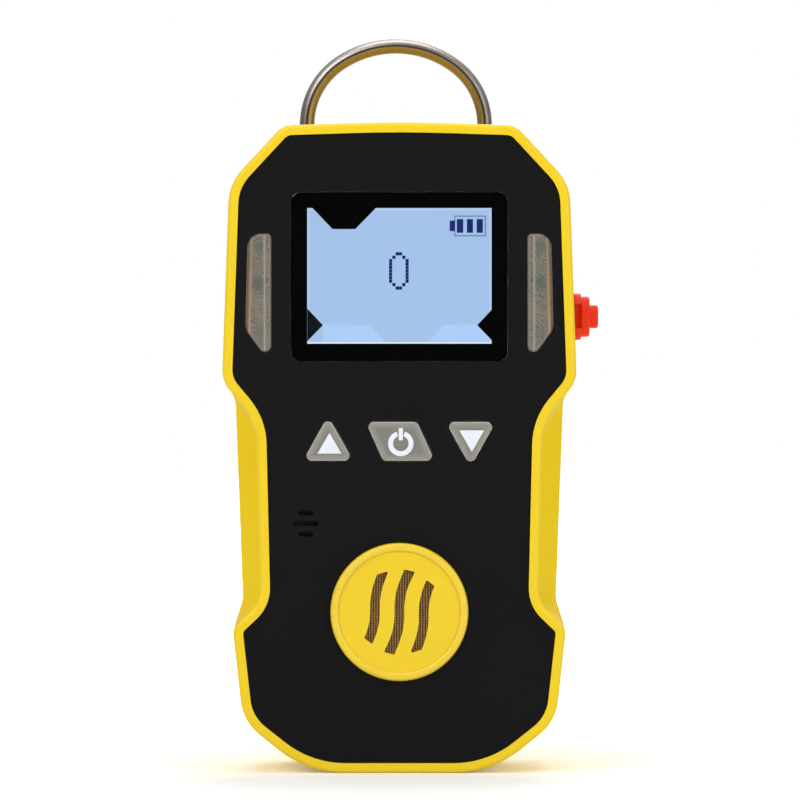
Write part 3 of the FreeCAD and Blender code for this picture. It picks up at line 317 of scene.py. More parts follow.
def circle(sides, radius, centre, turn=FACING_FRONT, inside="NOTHING"):
    """A circle, empty inside or filled with one face."""
    start_clean()
    bpy.ops.mesh.primitive_circle_add(
        vertices=sides, radius=radius, fill_type=inside, rotation=turn, location=centre)
    return settle()


def modify(piece, kind, **settings):
    """Adds a modifier and applies it at once."""
    choose(piece)
    modifier = piece.modifiers.new(kind.lower(), kind)
    for setting, value in settings.items():
        setattr(modifier, setting, value)
    bpy.ops.object.modifier_apply(modifier=modifier.name)


def join(pieces):
    """Joins several pieces into the first."""
    choose(pieces[0])
    for piece in pieces:
        piece.select_set(True)
    bpy.ops.object.join()
    return pieces[0]


def finish_piece(piece, name, body, finish, stands_for=(), angle=35.0):
    """Cleans the mesh, fixes its place in it, gives it a finish and hangs it on a body."""
    edit(piece)
    bpy.ops.mesh.select_all(action="SELECT")
    bpy.ops.mesh.remove_doubles(threshold=MERGE_GAP)
    bpy.ops.mesh.normals_make_consistent(inside=False)
    bpy.ops.object.mode_set(mode="OBJECT")
    settle()
    bpy.ops.object.shade_smooth_by_angle(angle=math.radians(angle))
    piece.name = piece.data.name = name
    piece.data.materials.clear()
    piece.data.materials.append(finish.material)
    if body:
        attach(piece, body)
    if stands_for:
        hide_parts(*stands_for)
    print(f"{name}: {len(piece.data.polygons)} faces")


# %% [markdown]
# ## The display window
# The window is a plate of clear acrylic, flush in a pocket of the black face. Its border is
# printed black on the back, so the border has the depth and gloss of the plate above it. A plate
# painted black at the rim would lose that depth, so the plate and the print are two pieces.

# %% The clear plate
lens_low, lens_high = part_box("display_lens")
LENS_CORNER = 2.0 * MM
CORNER_STEPS = 8
POLISHED_RIM = 0.07 * MM
PRINT_THICK = 0.05 * MM
PRINT_GAP = 0.01 * MM
FLAT_ANGLE = 15.0

plate_high = lens_high - Vector((0, PRINT_THICK + PRINT_GAP, 0))
plate = block((lens_low + plate_high) / 2, plate_high - lens_low)
pick(plate, "EDGE", lambda mesh, edge: abs(along(mesh, edge).y) > ALIGNED)
bpy.ops.mesh.bevel(offset=LENS_CORNER, segments=CORNER_STEPS, profile=0.5)
pick(plate, "EDGE", lambda mesh, edge: abs(middle(mesh, edge).y - lens_low.y) < SAME_PLACE)
bpy.ops.mesh.bevel(offset=POLISHED_RIM, segments=2, profile=0.5)
acrylic = Finish("clear_acrylic", Transmission_Weight=1.0, IOR=1.49, Roughness=0.0)
flow = acrylic.noise(9.0, 2.0)
acrylic.set(Base_Color=acrylic.mix(flow, (0.985, 0.99, 0.995, 1), (1, 1, 1, 1)))
acrylic.bump(flow, 0.001)
finish_piece(
    plate, "lens_window", "case", acrylic, ["display_lens"], angle=FLAT_ANGLE)

# %% The black print behind it
SEEN_WIDE = 35.45 * MM
SEEN_TALL = 26.07 * MM
SEEN_MIDDLE = Vector((0, 0, 95.57)) * MM
lens_size = lens_high - lens_low
lens_middle = (lens_high + lens_low) / 2


def upright_plane(wide, tall, place):
    """A plane that faces the front, at a size and place."""
    start_clean()
    bpy.ops.mesh.primitive_plane_add(size=1, rotation=FACING_FRONT, location=place)
    bpy.context.object.scale = (wide, tall, 1)
    return settle()


def draw_border(plane, border):
    """Draws a border round a plane's face and leaves the inner face selected."""
    pick(plane)
    bpy.ops.mesh.inset(thickness=border)


inset = (lens_size.x - SEEN_WIDE) / 2
inner_tall = lens_size.z - 2 * inset
border = upright_plane(
    lens_size.x, lens_size.z, (0, lens_high.y - PRINT_THICK / 2, lens_middle.z))
draw_border(border, inset)
bpy.ops.transform.resize(value=(1, 1, SEEN_TALL / inner_tall), center_override=lens_middle)
bpy.ops.transform.translate(value=(0, 0, SEEN_MIDDLE.z - lens_middle.z))
bpy.ops.mesh.delete(type="FACE")
pick(border, "VERT", lambda mesh, v: abs(abs(v.co.x) - lens_size.x / 2) < SAME_PLACE)
bpy.ops.mesh.bevel(offset=LENS_CORNER, segments=CORNER_STEPS, affect="VERTICES")
bpy.ops.object.mode_set(mode="OBJECT")
modify(border, "SOLIDIFY", thickness=PRINT_THICK, offset=0)
ink = Finish("border_ink", Specular_IOR_Level=0.0)
ink.set(
    Base_Color=ink.mix(ink.noise(6.0), srgb(4, 4, 5), srgb(8, 8, 9)),
    Roughness=ink.spread(ink.noise(0.3), 0.45, 0.6),
)
finish_piece(border, "lens_border", "case", ink)

# %% [markdown]
# ## The lit display
# A passive display is a flat glass panel lit from behind. The panel's CAD node already has the
# right shape, so it stays, and its finish gives the light: an even pale blue, a little brighter
# where the backlight leaks in at the sides and the top, and brightest in a line at the bottom.

# %% Pale blue light
PANEL_TONE = srgb(60, 75, 95)
HALF_WIDE, HALF_TALL = SEEN_WIDE / MM / 2, SEEN_TALL / MM / 2
lit = Finish("lit_display", Base_Color=PANEL_TONE, Roughness=0.4)
x, y, z = lit.axes()
from_side = lit.sum("ABSOLUTE", x)
from_middle = lit.sum("SUBTRACT", z, SEEN_MIDDLE.z / MM)
side_leak = lit.spread(from_side, 0.0, 1.0, HALF_WIDE - 0.55, HALF_WIDE - 0.25, soft=True)
top_leak = lit.spread(from_middle, 0.0, 1.0, HALF_TALL - 0.5, HALF_TALL - 0.3, soft=True)
low_leak = lit.spread(from_middle, 1.0, 0.0, 0.2 - HALF_TALL, 0.4 - HALF_TALL, soft=True)
leak = lit.sum("MAXIMUM", side_leak, top_leak)
glow = lit.mix(lit.noise(16.0, 1.0), srgb(165, 196, 235), srgb(171, 202, 241))
glow = lit.mix(lit.sum("MULTIPLY", leak, 0.6), glow, srgb(200, 224, 252))
glow = lit.mix(low_leak, glow, srgb(238, 246, 255))
lit.set(Emission_Color=glow, Emission_Strength=0.95)
give(lit, "lcd_panel")

# %% [markdown]
# ## Signs on the display
# The signs are dark liquid crystal, drawn as thin shapes just in front of the panel: a zero made
# of square dots, a battery, and dark and pale corners. One dot is modelled and copied to each
# place of the zero. The corners start as flat shapes whose corners are dragged to their places.

# %% Helpers for flat signs
SIGN_THICK = 0.04 * MM
SIGN_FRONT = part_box("lcd_panel")[0].y - SIGN_THICK
SEEN_TOP = SEEN_MIDDLE.z + SEEN_TALL / 2


def rectangle(left, right, low, high):
    """The corners of an upright rectangle, anticlockwise."""
    return [(left, low), (right, low), (right, high), (left, high)]


def on_display(corners):
    """Turns corners given in millimetres from the lit area's left and top edges into places."""
    return [(across * MM - SEEN_WIDE / 2, SEEN_TOP - down * MM) for across, down in corners]


def flat_sign(corners, front=SIGN_FRONT, thick=SIGN_THICK, round_edge=0.0):
    """A flat sign: a many-sided face whose corners are dragged to (across, up), then thickened
    away from its front."""
    made = circle(len(corners), MM, (0, front, 0), inside="NGON")
    for number, (across, up) in enumerate(corners):
        pick(made, "VERT", lambda mesh, vertex: vertex.index == number)
        here = made.data.vertices[number].co
        bpy.ops.transform.translate(value=Vector((across, front, up)) - here)
    pick(made)
    bpy.ops.mesh.extrude_region_move(TRANSFORM_OT_translate={"value": (0, thick, 0)})
    if round_edge:
        pick(made, "EDGE", lambda mesh, edge: abs(middle(mesh, edge).y - front) < SAME_PLACE)
        bpy.ops.mesh.bevel(offset=round_edge, segments=2)
    bpy.ops.object.mode_set(mode="OBJECT")
    return made


# %% The zero, dot by dot
DOT_PITCH = Vector((0.635, 0, 0.66)) * MM
DOT_HALF = 0.31 * MM
DOT_EDGE = 0.03 * MM
ZERO_MIDDLE = Vector((-0.1, 0, 96.55)) * MM
ZERO_ROWS = ["..xx..", ".x..x."] + ["x....x"] * 7 + [".x..x.", "..xx.."]

first_dot = flat_sign(rectangle(
    ZERO_MIDDLE.x - DOT_HALF, ZERO_MIDDLE.x + DOT_HALF,
    ZERO_MIDDLE.z - DOT_HALF, ZERO_MIDDLE.z + DOT_HALF), round_edge=DOT_EDGE)
spots = [
    (column - (len(line) - 1) / 2, (len(ZERO_ROWS) - 1) / 2 - row)
    for row, line in enumerate(ZERO_ROWS)
    for column, mark in enumerate(line)
    if mark == "x"
]
dots = [first_dot]
while len(dots) < len(spots):
    choose(first_dot)
    bpy.ops.object.duplicate()
    dots.append(bpy.context.object)
for dot, (column, row) in zip(dots, spots):
    dot.location = (column * DOT_PITCH.x, 0, row * DOT_PITCH.z)
CRYSTAL = {"Roughness": 0.5, "Specular_IOR_Level": 0.0}
navy = mottled("dark_crystal", 0.8, (30, 40, 134), (38, 50, 150), **CRYSTAL)
finish_piece(join(dots), "display_zero", "case", navy)

# %% The battery
BATTERY_LEFT, BATTERY_TOP = 28.33, 1.43
BATTERY_SIZE = Vector((6.0, 0, 3.93)) * MM
BATTERY_LINE = 0.14 * MM
BARS = [
    # left and right edge, top and height, all in mm from the battery's left top corner
    (-0.93, 0.0, 0.93, 2.05),
    (0.45, 1.69, 0.65, 2.64), (2.39, 3.57, 0.65, 2.64), (4.27, 5.48, 0.65, 2.64),
]
BAR_EDGE = 0.01 * MM

corner_x, corner_z = on_display([(BATTERY_LEFT, BATTERY_TOP)])[0]
battery_middle = Vector((
    corner_x + BATTERY_SIZE.x / 2, SIGN_FRONT + SIGN_THICK / 2, corner_z - BATTERY_SIZE.z / 2))
outline = upright_plane(BATTERY_SIZE.x, BATTERY_SIZE.z, battery_middle)
draw_border(outline, BATTERY_LINE)
bpy.ops.mesh.delete(type="FACE")
bpy.ops.object.mode_set(mode="OBJECT")
modify(outline, "SOLIDIFY", thickness=SIGN_THICK, offset=0)
bars = [
    flat_sign(on_display(rectangle(
        BATTERY_LEFT + left, BATTERY_LEFT + right,
        BATTERY_TOP + down + tall, BATTERY_TOP + down)), round_edge=BAR_EDGE)
    for left, right, down, tall in BARS
]
blue = mottled("blue_crystal", 0.8, (46, 62, 156), (58, 74, 168), **CRYSTAL)
finish_piece(join([outline] + bars), "display_battery", "case", blue)

# %% Dark corners and paler fields
BEYOND = 0.6
SEEN_RIGHT = SEEN_WIDE / MM + BEYOND
NOTCH = [(4.83, 4.0), (9.24, 4.0), (13.15 + BEYOND, -BEYOND), (1.05 - BEYOND, -BEYOND)]
RIGHT_WEDGE = [(SEEN_RIGHT, 26.0), (SEEN_RIGHT, 18.9), (32.7, 22.5)]
LEFT_WEDGE = [(0.0, 25.6), (3.0, 22.5), (0.0, 19.3)]
FIELD_TOP, FIELD_LOW = 22.4, 25.75
FIELDS = [
    [(3.1, FIELD_LOW), (15.0, FIELD_LOW), (11.9, FIELD_TOP), (3.1, FIELD_TOP)],
    [(23.4, FIELD_LOW), (35.15, FIELD_LOW), (35.15, FIELD_TOP), (26.2, FIELD_TOP)],
]
FIELD_THICK = SIGN_THICK / 2

MASK = {"Roughness": 0.6, "Specular_IOR_Level": 0.0}
mask_ink = mottled("mask_ink", 3.0, (3, 3, 4), (7, 7, 8), **MASK)
corners = [flat_sign(on_display(shape)) for shape in (NOTCH, RIGHT_WEDGE)]
finish_piece(join(corners), "display_corners", "case", mask_ink)
slate = mottled("slate_crystal", 3.0, (34, 44, 51), (40, 50, 57), **MASK)
left_corner = flat_sign(on_display(LEFT_WEDGE))
finish_piece(left_corner, "display_slate_corner", "case", slate)
pale = Finish("pale_field", Base_Color=PANEL_TONE, Roughness=0.4, Emission_Strength=1.0)
pale.set(Emission_Color=pale.mix(pale.noise(16.0, 1.0), srgb(170, 206, 248), srgb(174, 209, 251)))
fields = [flat_sign(on_display(shape), SIGN_FRONT + FIELD_THICK, FIELD_THICK) for shape in FIELDS]
finish_piece(join(fields), "display_fields", "case", pale)

# %% [markdown]
# ## Soft keys
# The keys are moulded silicone, a little translucent. Their rim is painted paler than the middle, a
# painted highlight where light catches the bevelled edge, with a painted pale halo inside it. The
# rim follows each key's outline: the finish measures how far a point lies from the key's straight
# sides, as one number, and that number chooses the tone.

# %% Distance from straight sides
def side_distance(finish, corners):
    """How many millimetres a point lies inside the nearest side of a shape, whose corners run
    anticlockwise."""
    x, y, z = finish.axes()
    nearest = None
    for (x0, z0), (x1, z1) in zip(corners, corners[1:] + corners[:1]):
        long = math.hypot(x1 - x0, z1 - z0)
        inward = ((z0 - z1) / long, (x1 - x0) / long)
        part = finish.sum("MULTIPLY_ADD", x, inward[0], -inward[0] * x0 - inward[1] * z0)
        side = finish.sum("MULTIPLY_ADD", z, inward[1], part)
        nearest = side if nearest is None else finish.sum("MINIMUM", nearest, side)
    return nearest


# %% Silicone keys
KEY_LOW, KEY_HIGH, ARROW_X, ARROW_HALF, ARROW_TALL = 60.0, 67.5, 13.7, 4.85, 8.66
KEYS = {
    "up": [
        (-ARROW_X - ARROW_HALF, KEY_LOW), (-ARROW_X + ARROW_HALF, KEY_LOW),
        (-ARROW_X, KEY_LOW + ARROW_TALL)],
    "power": [(-3.1, KEY_LOW), (6.8, KEY_LOW), (3.4, KEY_HIGH), (-6.5, KEY_HIGH)],
    "down": [
        (ARROW_X, KEY_HIGH - ARROW_TALL), (ARROW_X + ARROW_HALF, KEY_HIGH),
        (ARROW_X - ARROW_HALF, KEY_HIGH)],
}
for name, corners in KEYS.items():
    rubber = Finish(f"key_silicone_{name}", Specular_IOR_Level=0.4, Subsurface_Weight=0.15)
    rubber.set(Subsurface_Radius=(0.6 * MM, 0.55 * MM, 0.45 * MM), Subsurface_Scale=1.0)
    inside = side_distance(rubber, corners)
    # painted highlight: the pale rim and the pale halo inside it stand for light on the bevelled
    # edge
    painted_halo_share = rubber.spread(inside, 0.0, 1.0, 0.5, 1.5, soft=True)
    painted_rim_highlight_share = rubber.spread(inside, 0.0, 1.0, 0.1, 0.32, soft=True)
    dust = rubber.noise(0.35, 3.0)
    tone = rubber.mix(dust, srgb(118, 116, 108), srgb(136, 134, 125))
    tone = rubber.mix(painted_halo_share, srgb(146, 144, 134), tone)
    tone = rubber.mix(painted_rim_highlight_share, srgb(180, 175, 164), tone)
    rubber.set(Base_Color=tone, Roughness=rubber.spread(dust, 0.4, 0.55))
    rubber.bump(dust, 0.01)
    give(rubber, f"button_{name}")

# %% [markdown]
# ## Signs on the keys
# Two triangles and the standby ring are printed in pale ink. The ring starts as a circle whose
# edges are pulled inward, then the faces in the gap at its top are taken away. Each sign hangs on
# its key, so it goes down with the press.

# %% Printed arrows
INK_THICK = 0.05 * MM
INK_EDGE = 0.015 * MM
key_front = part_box("button_power")[0].y
ICON_FRONT = key_front - INK_THICK / 2
ARROWS = [
    # name, middle, base, tip and width in mm
    ("up", -ARROW_X + 0.27, KEY_LOW + 1.4, KEY_LOW + 5.4, 4.6),
    ("down", ARROW_X + 0.2, KEY_HIGH - 1.62, KEY_HIGH - 5.8, 4.77),
]
frost = mottled("pale_ink", 0.9, (222, 227, 238), (236, 240, 248), Roughness=0.5)
for name, across, base, tip, wide in ARROWS:
    corners = [(across - wide / 2, base), (across + wide / 2, base), (across, tip)]
    if tip < base:
        corners.reverse()
    corners = [(x * MM, z * MM) for x, z in corners]
    sign = flat_sign(corners, ICON_FRONT, INK_THICK, INK_EDGE)
    finish_piece(sign, f"sign_{name}", f"key_{name}", frost)

# %% The standby sign
RING_MIDDLE = Vector((0.27 * MM, key_front, 63.35 * MM))
RING_OUT, RING_IN = 2.43 * MM, 1.49 * MM
RING_SIDES = 72
GAP_HALF = math.radians(20)
STROKE_HALF, STROKE_LOW, STROKE_HIGH = 0.4 * MM, 0.6 * MM, 2.95 * MM


def in_gap(mesh, face):
    """Whether a face lies in the gap at the top of the ring."""
    out = face.center - RING_MIDDLE
    return abs(math.atan2(out.x, out.z)) < GAP_HALF


ring = circle(RING_SIDES, RING_OUT, RING_MIDDLE)
pick(ring, "EDGE")
bpy.ops.mesh.extrude_edges_move()
bpy.ops.transform.resize(value=[RING_IN / RING_OUT] * 3, center_override=RING_MIDDLE)
pick(ring, "FACE", in_gap)
bpy.ops.mesh.delete(type="FACE")
bpy.ops.object.mode_set(mode="OBJECT")
modify(ring, "SOLIDIFY", thickness=INK_THICK, offset=0)
stroke = flat_sign(rectangle(
    RING_MIDDLE.x - STROKE_HALF, RING_MIDDLE.x + STROKE_HALF,
    RING_MIDDLE.z + STROKE_LOW, RING_MIDDLE.z + STROKE_HIGH), ICON_FRONT, INK_THICK, INK_EDGE)
finish_piece(join([ring, stroke]), "sign_power", "key_power", frost)

# %% [markdown]
# ## Clear alarm windows
# Behind each slanted window lie light guides and lamps, blurred by the clear moulding. Modelling
# them would hardly show, so the finish draws them in depth order: a mottled grey floor, a few dull
# green lamp lenses, pale, warm and dark bands along the walls, and a pale rim painted as the
# highlight on its polished edge.

# %% Alarm window finish
ALARM_IN_X, ALARM_OUT_X, ALARM_OUT_LOW_X = 24.6, 29.2, 29.65
ALARM_TOP_Z, ALARM_SIDE_Z, ALARM_TIP_Z = 103.7, 85.3, 78.4
ALARM_SLANT = (ALARM_OUT_X - ALARM_OUT_LOW_X) / (ALARM_TOP_Z - ALARM_SIDE_Z)
ALARM_OUTLINE = [
    (ALARM_IN_X, ALARM_TIP_Z), (ALARM_OUT_LOW_X, ALARM_SIDE_Z),
    (ALARM_OUT_X, ALARM_TOP_Z), (ALARM_IN_X, ALARM_TOP_Z),
]
LAMP_SPOTS = [
    # across and up in mm, radius in mm, how green
    (27.1, 101.2, 1.5, 0.6), (27.2, 94.2, 1.7, 0.8),
    (25.5, 94.8, 0.7, 0.7), (26.8, 84.6, 1.4, 0.35),
]
LAMP_SQUASH = 0.75


def band(finish, value, middle, half, fade, most=1.0):
    """A soft stripe: at its most within half of the middle, falling to 0 over fade."""
    off = finish.sum("ABSOLUTE", finish.sum("SUBTRACT", value, middle))
    return finish.sum("MULTIPLY", finish.spread(off, 1.0, 0.0, half, half + fade, soft=True), most)


for name, sign in (("left", -1), ("right", 1)):
    guide = Finish(f"light_guide_{name}", Coat_Weight=0.6, Coat_Roughness=0.08)
    corners = [(sign * across, up) for across, up in ALARM_OUTLINE]
    from_edge = side_distance(guide, corners if sign > 0 else corners[::-1])
    x, y, z = guide.axes()
    across = guide.sum("MULTIPLY", x, sign)
    from_inner = guide.sum("SUBTRACT", across, ALARM_IN_X)
    outer_side = guide.sum(
        "MULTIPLY_ADD", z, ALARM_SLANT, ALARM_OUT_LOW_X - ALARM_SLANT * ALARM_SIDE_Z)
    from_outer = guide.sum("SUBTRACT", outer_side, across)
    speckle = guide.noise(0.28, 4.0)
    cloud = guide.noise(2.2, 2.0, centre=(sign * 3.0, 0, 0))
    lens_tone = guide.mix(speckle, srgb(56, 72, 66), srgb(92, 108, 98))
    warmth = guide.spread(z, 0.75, 0.3, ALARM_SIDE_Z, ALARM_TOP_Z)
    layers = [
        # where a layer covers the ones below, its tone
        (guide.spread(speckle, 0.0, 1.0, 0.34, 0.66), srgb(140, 133, 121)),
        (guide.spread(cloud, 0.0, 0.45, 0.45, 0.7), srgb(131, 124, 112)),
    ]
    for lamp_x, lamp_z, lamp_r, green in LAMP_SPOTS:
        aside = guide.sum("SUBTRACT", across, lamp_x)
        above = guide.sum("MULTIPLY", guide.sum("SUBTRACT", z, lamp_z), LAMP_SQUASH)
        away = guide.length(aside, above)
        layers.append((guide.spread(away, green, 0.0, lamp_r * 0.2, lamp_r, soft=True), lens_tone))
    layers += [
        (band(guide, from_inner, 1.3, 0.06, 0.25, 0.6), srgb(172, 165, 149)),
        (band(guide, from_outer, 0.85, 0.06, 0.28, warmth), srgb(190, 141, 90)),
        (guide.spread(from_edge, 0.8, 0.0, 0.3, 0.6, soft=True), srgb(138, 129, 113)),
        (band(guide, from_outer, 0.36, 0.12, 0.16, 0.75), srgb(96, 80, 60)),
        # painted highlight: the pale rim along the window's polished edge
        (guide.spread(from_edge, 0.8, 0.0, 0.06, 0.2, soft=True), srgb(176, 168, 152)),
    ]
    tone = srgb(72, 71, 65)
    for cover, colour in layers:
        tone = guide.mix(cover, tone, colour)
    guide.set(Base_Color=tone, Roughness=guide.spread(speckle, 0.3, 0.5))
    give(guide, f"alarm_window_{name}")

# %% [markdown]
# ## Woven screen in the sensor cap
# Gas reaches the sensor through a woven metal screen. Real cloth has straight warp wires and thin
# weft wires that snake over and under them. One warp wire and one wave of the weft are modelled,
# repeated with arrays, and the square of cloth is then trimmed to a disc.

# %% Helpers for weaving
screen_low, screen_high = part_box("sensor_screen")
SCREEN_MIDDLE = (screen_low + screen_high) / 2
SCREEN_R = (screen_high.x - screen_low.x) / 2
WARP_WIDE, WARP_PITCH = 0.2 * MM, 0.5 * MM
WEFT_WIDE, WEFT_PITCH = 0.1 * MM, 0.3 * MM
WELD_GAP = WEFT_WIDE / 50
WIRE_SIDES = 6
ALONG_X = (0, math.pi / 2, 0)
SWING = (WARP_WIDE + WEFT_WIDE) / 2
# the weft's wave: share of the way from one warp gap to the next, share of the full swing
WAVE = [(0.25, 0.7), (0.5, 1.0), (0.75, 0.7)]

warp_count = int(2 * SCREEN_R / WARP_PITCH)
weft_count = int(2 * SCREEN_R / WEFT_PITCH)
first_x = -WARP_PITCH * (warp_count - 1) / 2
first_z = SCREEN_MIDDLE.z - WEFT_PITCH * (weft_count - 1) / 2


def straight_wire(wide, long, centre, turn=(0, 0, 0)):
    """A straight round wire, lying along z before its turn."""
    start_clean()
    bpy.ops.mesh.primitive_cylinder_add(
        vertices=WIRE_SIDES, radius=wide / 2, depth=long, location=centre, rotation=turn)
    return settle()


def repeat(piece, count, step, **settings):
    """Repeats a piece at even steps."""
    modify(piece, "ARRAY", count=count, use_relative_offset=False, use_constant_offset=True,
           constant_offset_displace=step, **settings)


def weft_row(start_z, side):
    """A weft wire one pitch long that passes one warp wire on one side."""
    start = Vector((first_x - WARP_PITCH / 2, SCREEN_MIDDLE.y, start_z))
    row = straight_wire(WEFT_WIDE, WARP_PITCH, start + Vector((WARP_PITCH / 2, 0, 0)), ALONG_X)
    pick(row, "FACE", lambda mesh, face: abs(face.normal.x) > ALIGNED)
    bpy.ops.mesh.delete(type="ONLY_FACE")
    for share, rise in WAVE:
        pick(row)
        bpy.ops.mesh.bisect(plane_co=start + Vector((WARP_PITCH * share, 0, 0)), plane_no=(1, 0, 0))
    for share, rise in WAVE:
        here = start.x + WARP_PITCH * share
        pick(row, "VERT", lambda mesh, vertex: abs(vertex.co.x - here) < WELD_GAP)
        bpy.ops.transform.translate(value=(0, side * SWING * rise, 0))
    bpy.ops.object.mode_set(mode="OBJECT")
    return row


def mirrored_pair(row):
    """Adds the next half wave, which swings to the other side of the next warp wire."""
    choose(row)
    bpy.ops.object.duplicate()
    other = bpy.context.object
    pick(other)
    bpy.ops.transform.resize(value=(1, -1, 1), center_override=SCREEN_MIDDLE)
    bpy.ops.transform.translate(value=(WARP_PITCH, 0, 0))
    bpy.ops.mesh.flip_normals()
    bpy.ops.object.mode_set(mode="OBJECT")
    return join([row, other])


# %% Weave the cloth
warp = straight_wire(WARP_WIDE, 2 * SCREEN_R, (first_x, SCREEN_MIDDLE.y, SCREEN_MIDDLE.z))
repeat(warp, warp_count, (WARP_PITCH, 0, 0))
rows = []
for number, side in enumerate((1, -1)):
    row = mirrored_pair(weft_row(first_z + number * WEFT_PITCH, side))
    repeat(row, warp_count // 2, (2 * WARP_PITCH, 0, 0),
           use_merge_vertices=True, merge_threshold=WELD_GAP)
    repeat(row, weft_count // 2, (0, 0, 2 * WEFT_PITCH))
    rows.append(row)
cloth = join([warp] + rows)
print(warp_count, "warp wires and", weft_count // 2 * 2, "weft wires")

# %% Trim the cloth to a disc
TRIM_SIDES = 16
TRIM_R = 0.985 * SCREEN_R
for number in range(TRIM_SIDES):
    angle = 2 * math.pi * number / TRIM_SIDES
    outward = Vector((math.cos(angle), 0, math.sin(angle)))
    pick(cloth)
    bpy.ops.mesh.bisect(
        plane_co=SCREEN_MIDDLE + outward * TRIM_R, plane_no=outward, clear_outer=True)
bpy.ops.object.mode_set(mode="OBJECT")
weave = mottled(
    "bronze_wire", 0.7, (176, 146, 100), (224, 196, 146), (0.3, 0.5), detail=3.0, Metallic=0.4)
finish_piece(cloth, "sensor_weave", "case", weave, ["sensor_screen"])

# %% [markdown]
# ## The red port plug
# The plug is a soft red rubber stopper turned from steps: stem, flange, disc and knob. It is made
# ring by ring from one circle, as on a lathe. A flat is then cut into the front of the flange,
# where a finger nail gets under it, and its edges are rounded like moulded rubber.

# %% Turn the plug
plug_low, plug_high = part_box("port_plug")
PLUG_AXIS_Y = -0.3 * MM
PLUG_AXIS_Z = (plug_low.z + plug_high.z) / 2
FLANGE_R = (plug_high.z - plug_low.z) / 2
STEM_X, SEAT_X, FLANGE_X, DISC_X, KNOB_X = plug_low.x, 34.0 * MM, 35.5 * MM, 37.1 * MM, plug_high.x
STEM_R, DISC_R, KNOB_R = 2.25 * MM, 3.95 * MM, 2.25 * MM
SOFT_R = 0.4 * MM
STEP = 0.001 * MM
PLUG_SIDES = 64


def shoulder(end_x, radius):
    """Steps along a rounded outer edge that ends at end_x."""
    angles = [math.radians(degrees) for degrees in (0, 30, 60, 90)]
    return [
        (end_x - SOFT_R * (1 - math.sin(angle)), radius - SOFT_R * (1 - math.cos(angle)))
        for angle in angles
    ]


def end_face(mesh, face):
    """Whether a face is the plug's end, which has more corners than the faces round it."""
    return abs(face.center.x - end_x) < SAME_PLACE and len(face.vertices) > 4


end_x, end_r = STEM_X, STEM_R - SOFT_R
turning = [
    (STEM_X + SOFT_R, STEM_R), (SEAT_X, STEM_R),
    (SEAT_X + STEP, FLANGE_R - SOFT_R / 2), (SEAT_X + SOFT_R / 2, FLANGE_R),
    *shoulder(FLANGE_X, FLANGE_R),
    (FLANGE_X + STEP, DISC_R), *shoulder(DISC_X, DISC_R),
    (DISC_X + STEP, KNOB_R), *shoulder(KNOB_X, KNOB_R),
]
plug = circle(PLUG_SIDES, end_r, (end_x, PLUG_AXIS_Y, PLUG_AXIS_Z), ALONG_X, inside="NGON")
for new_x, new_r in turning:
    pick(plug, "FACE", end_face)
    bpy.ops.mesh.extrude_region_move(TRANSFORM_OT_translate={"value": (new_x - end_x, 0, 0)})
    scale = new_r / end_r
    bpy.ops.transform.resize(
        value=(1, scale, scale), center_override=(new_x, PLUG_AXIS_Y, PLUG_AXIS_Z))
    end_x, end_r = new_x, new_r
print("plug turned in", len(turning), "steps")

# %% Cut the finger flat
FLAT_TALL = 4.7 * MM
FLAT_Y = PLUG_AXIS_Y - FLANGE_R + 2.0 * MM
CUTTER_DEEP = 4.0 * MM
CUTTER_PAST = 0.2 * MM
CUTTER_EDGE = 0.25 * MM

cutter = block(
    ((SEAT_X + FLANGE_X - CUTTER_PAST) / 2, FLAT_Y - CUTTER_DEEP / 2, PLUG_AXIS_Z),
    (FLANGE_X - SEAT_X + CUTTER_PAST, CUTTER_DEEP, FLAT_TALL))
pick(cutter, "EDGE")
bpy.ops.mesh.bevel(offset=CUTTER_EDGE, segments=3)
bpy.ops.object.mode_set(mode="OBJECT")
modify(plug, "BOOLEAN", operation="DIFFERENCE", object=cutter, solver="EXACT")
choose(cutter)
bpy.ops.object.delete()
red = Finish("red_rubber", Specular_IOR_Level=0.15, Subsurface_Weight=0.1)
bloom = red.noise(0.5, 3.0)
red.set(
    Subsurface_Radius=(1.2 * MM, 0.3 * MM, 0.2 * MM), Subsurface_Scale=1.0,
    Base_Color=red.mix(red.noise(3.0), srgb(234, 48, 14), srgb(243, 66, 28)),
    Roughness=red.spread(bloom, 0.38, 0.55),
)
red.bump(bloom, 0.015)
finish_piece(plug, "red_plug", "plug_body", red, ["port_plug"])

# %% [markdown]
# ## Steel wire, plate and screws
# The bail is bent from drawn stainless wire, so its fine scratches run along the wire. Its crown
# is painted lighter than its legs, painted light from the lamps above, and the outermost side of
# the wire is painted darker grey as painted shade. Its inner side is painted brown, a painted
# reflection of the yellow case below it, and a painted dark reflection line parts the two. The
# belt clip is pressed from brushed sheet, where scratches run up and down. They change the gloss
# more than the shape.

# %% Drawn wire for the bail
BAIL_X = -0.7
FLAT_ARC_Z, FLAT_ARC_R = 121.85, 19.8
SIDE_ARC_X, SIDE_ARC_Z, SIDE_ARC_R = 2.89, 126.1, 14.66
FLAT_ARC_LEAN = SIDE_ARC_X / (SIDE_ARC_Z - FLAT_ARC_Z)
LEG_Z, CROWN_Z = 128.0, 139.0
SCRATCH_NARROW = 4.0

wire = Finish("drawn_wire", Metallic=1.0)
x, y, z = wire.axes()
across = wire.sum("ABSOLUTE", wire.sum("SUBTRACT", x, BAIL_X))
above_arc = wire.sum("SUBTRACT", z, FLAT_ARC_Z)


def from_arc(middle_x, middle_z, arc_r, height):
    """How far a point lies outside an arc of the bail's centre line."""
    aside = wire.sum("SUBTRACT", across, middle_x)
    above = wire.sum("SUBTRACT", height, middle_z)
    return wire.sum("SUBTRACT", wire.length(aside, above), arc_r)


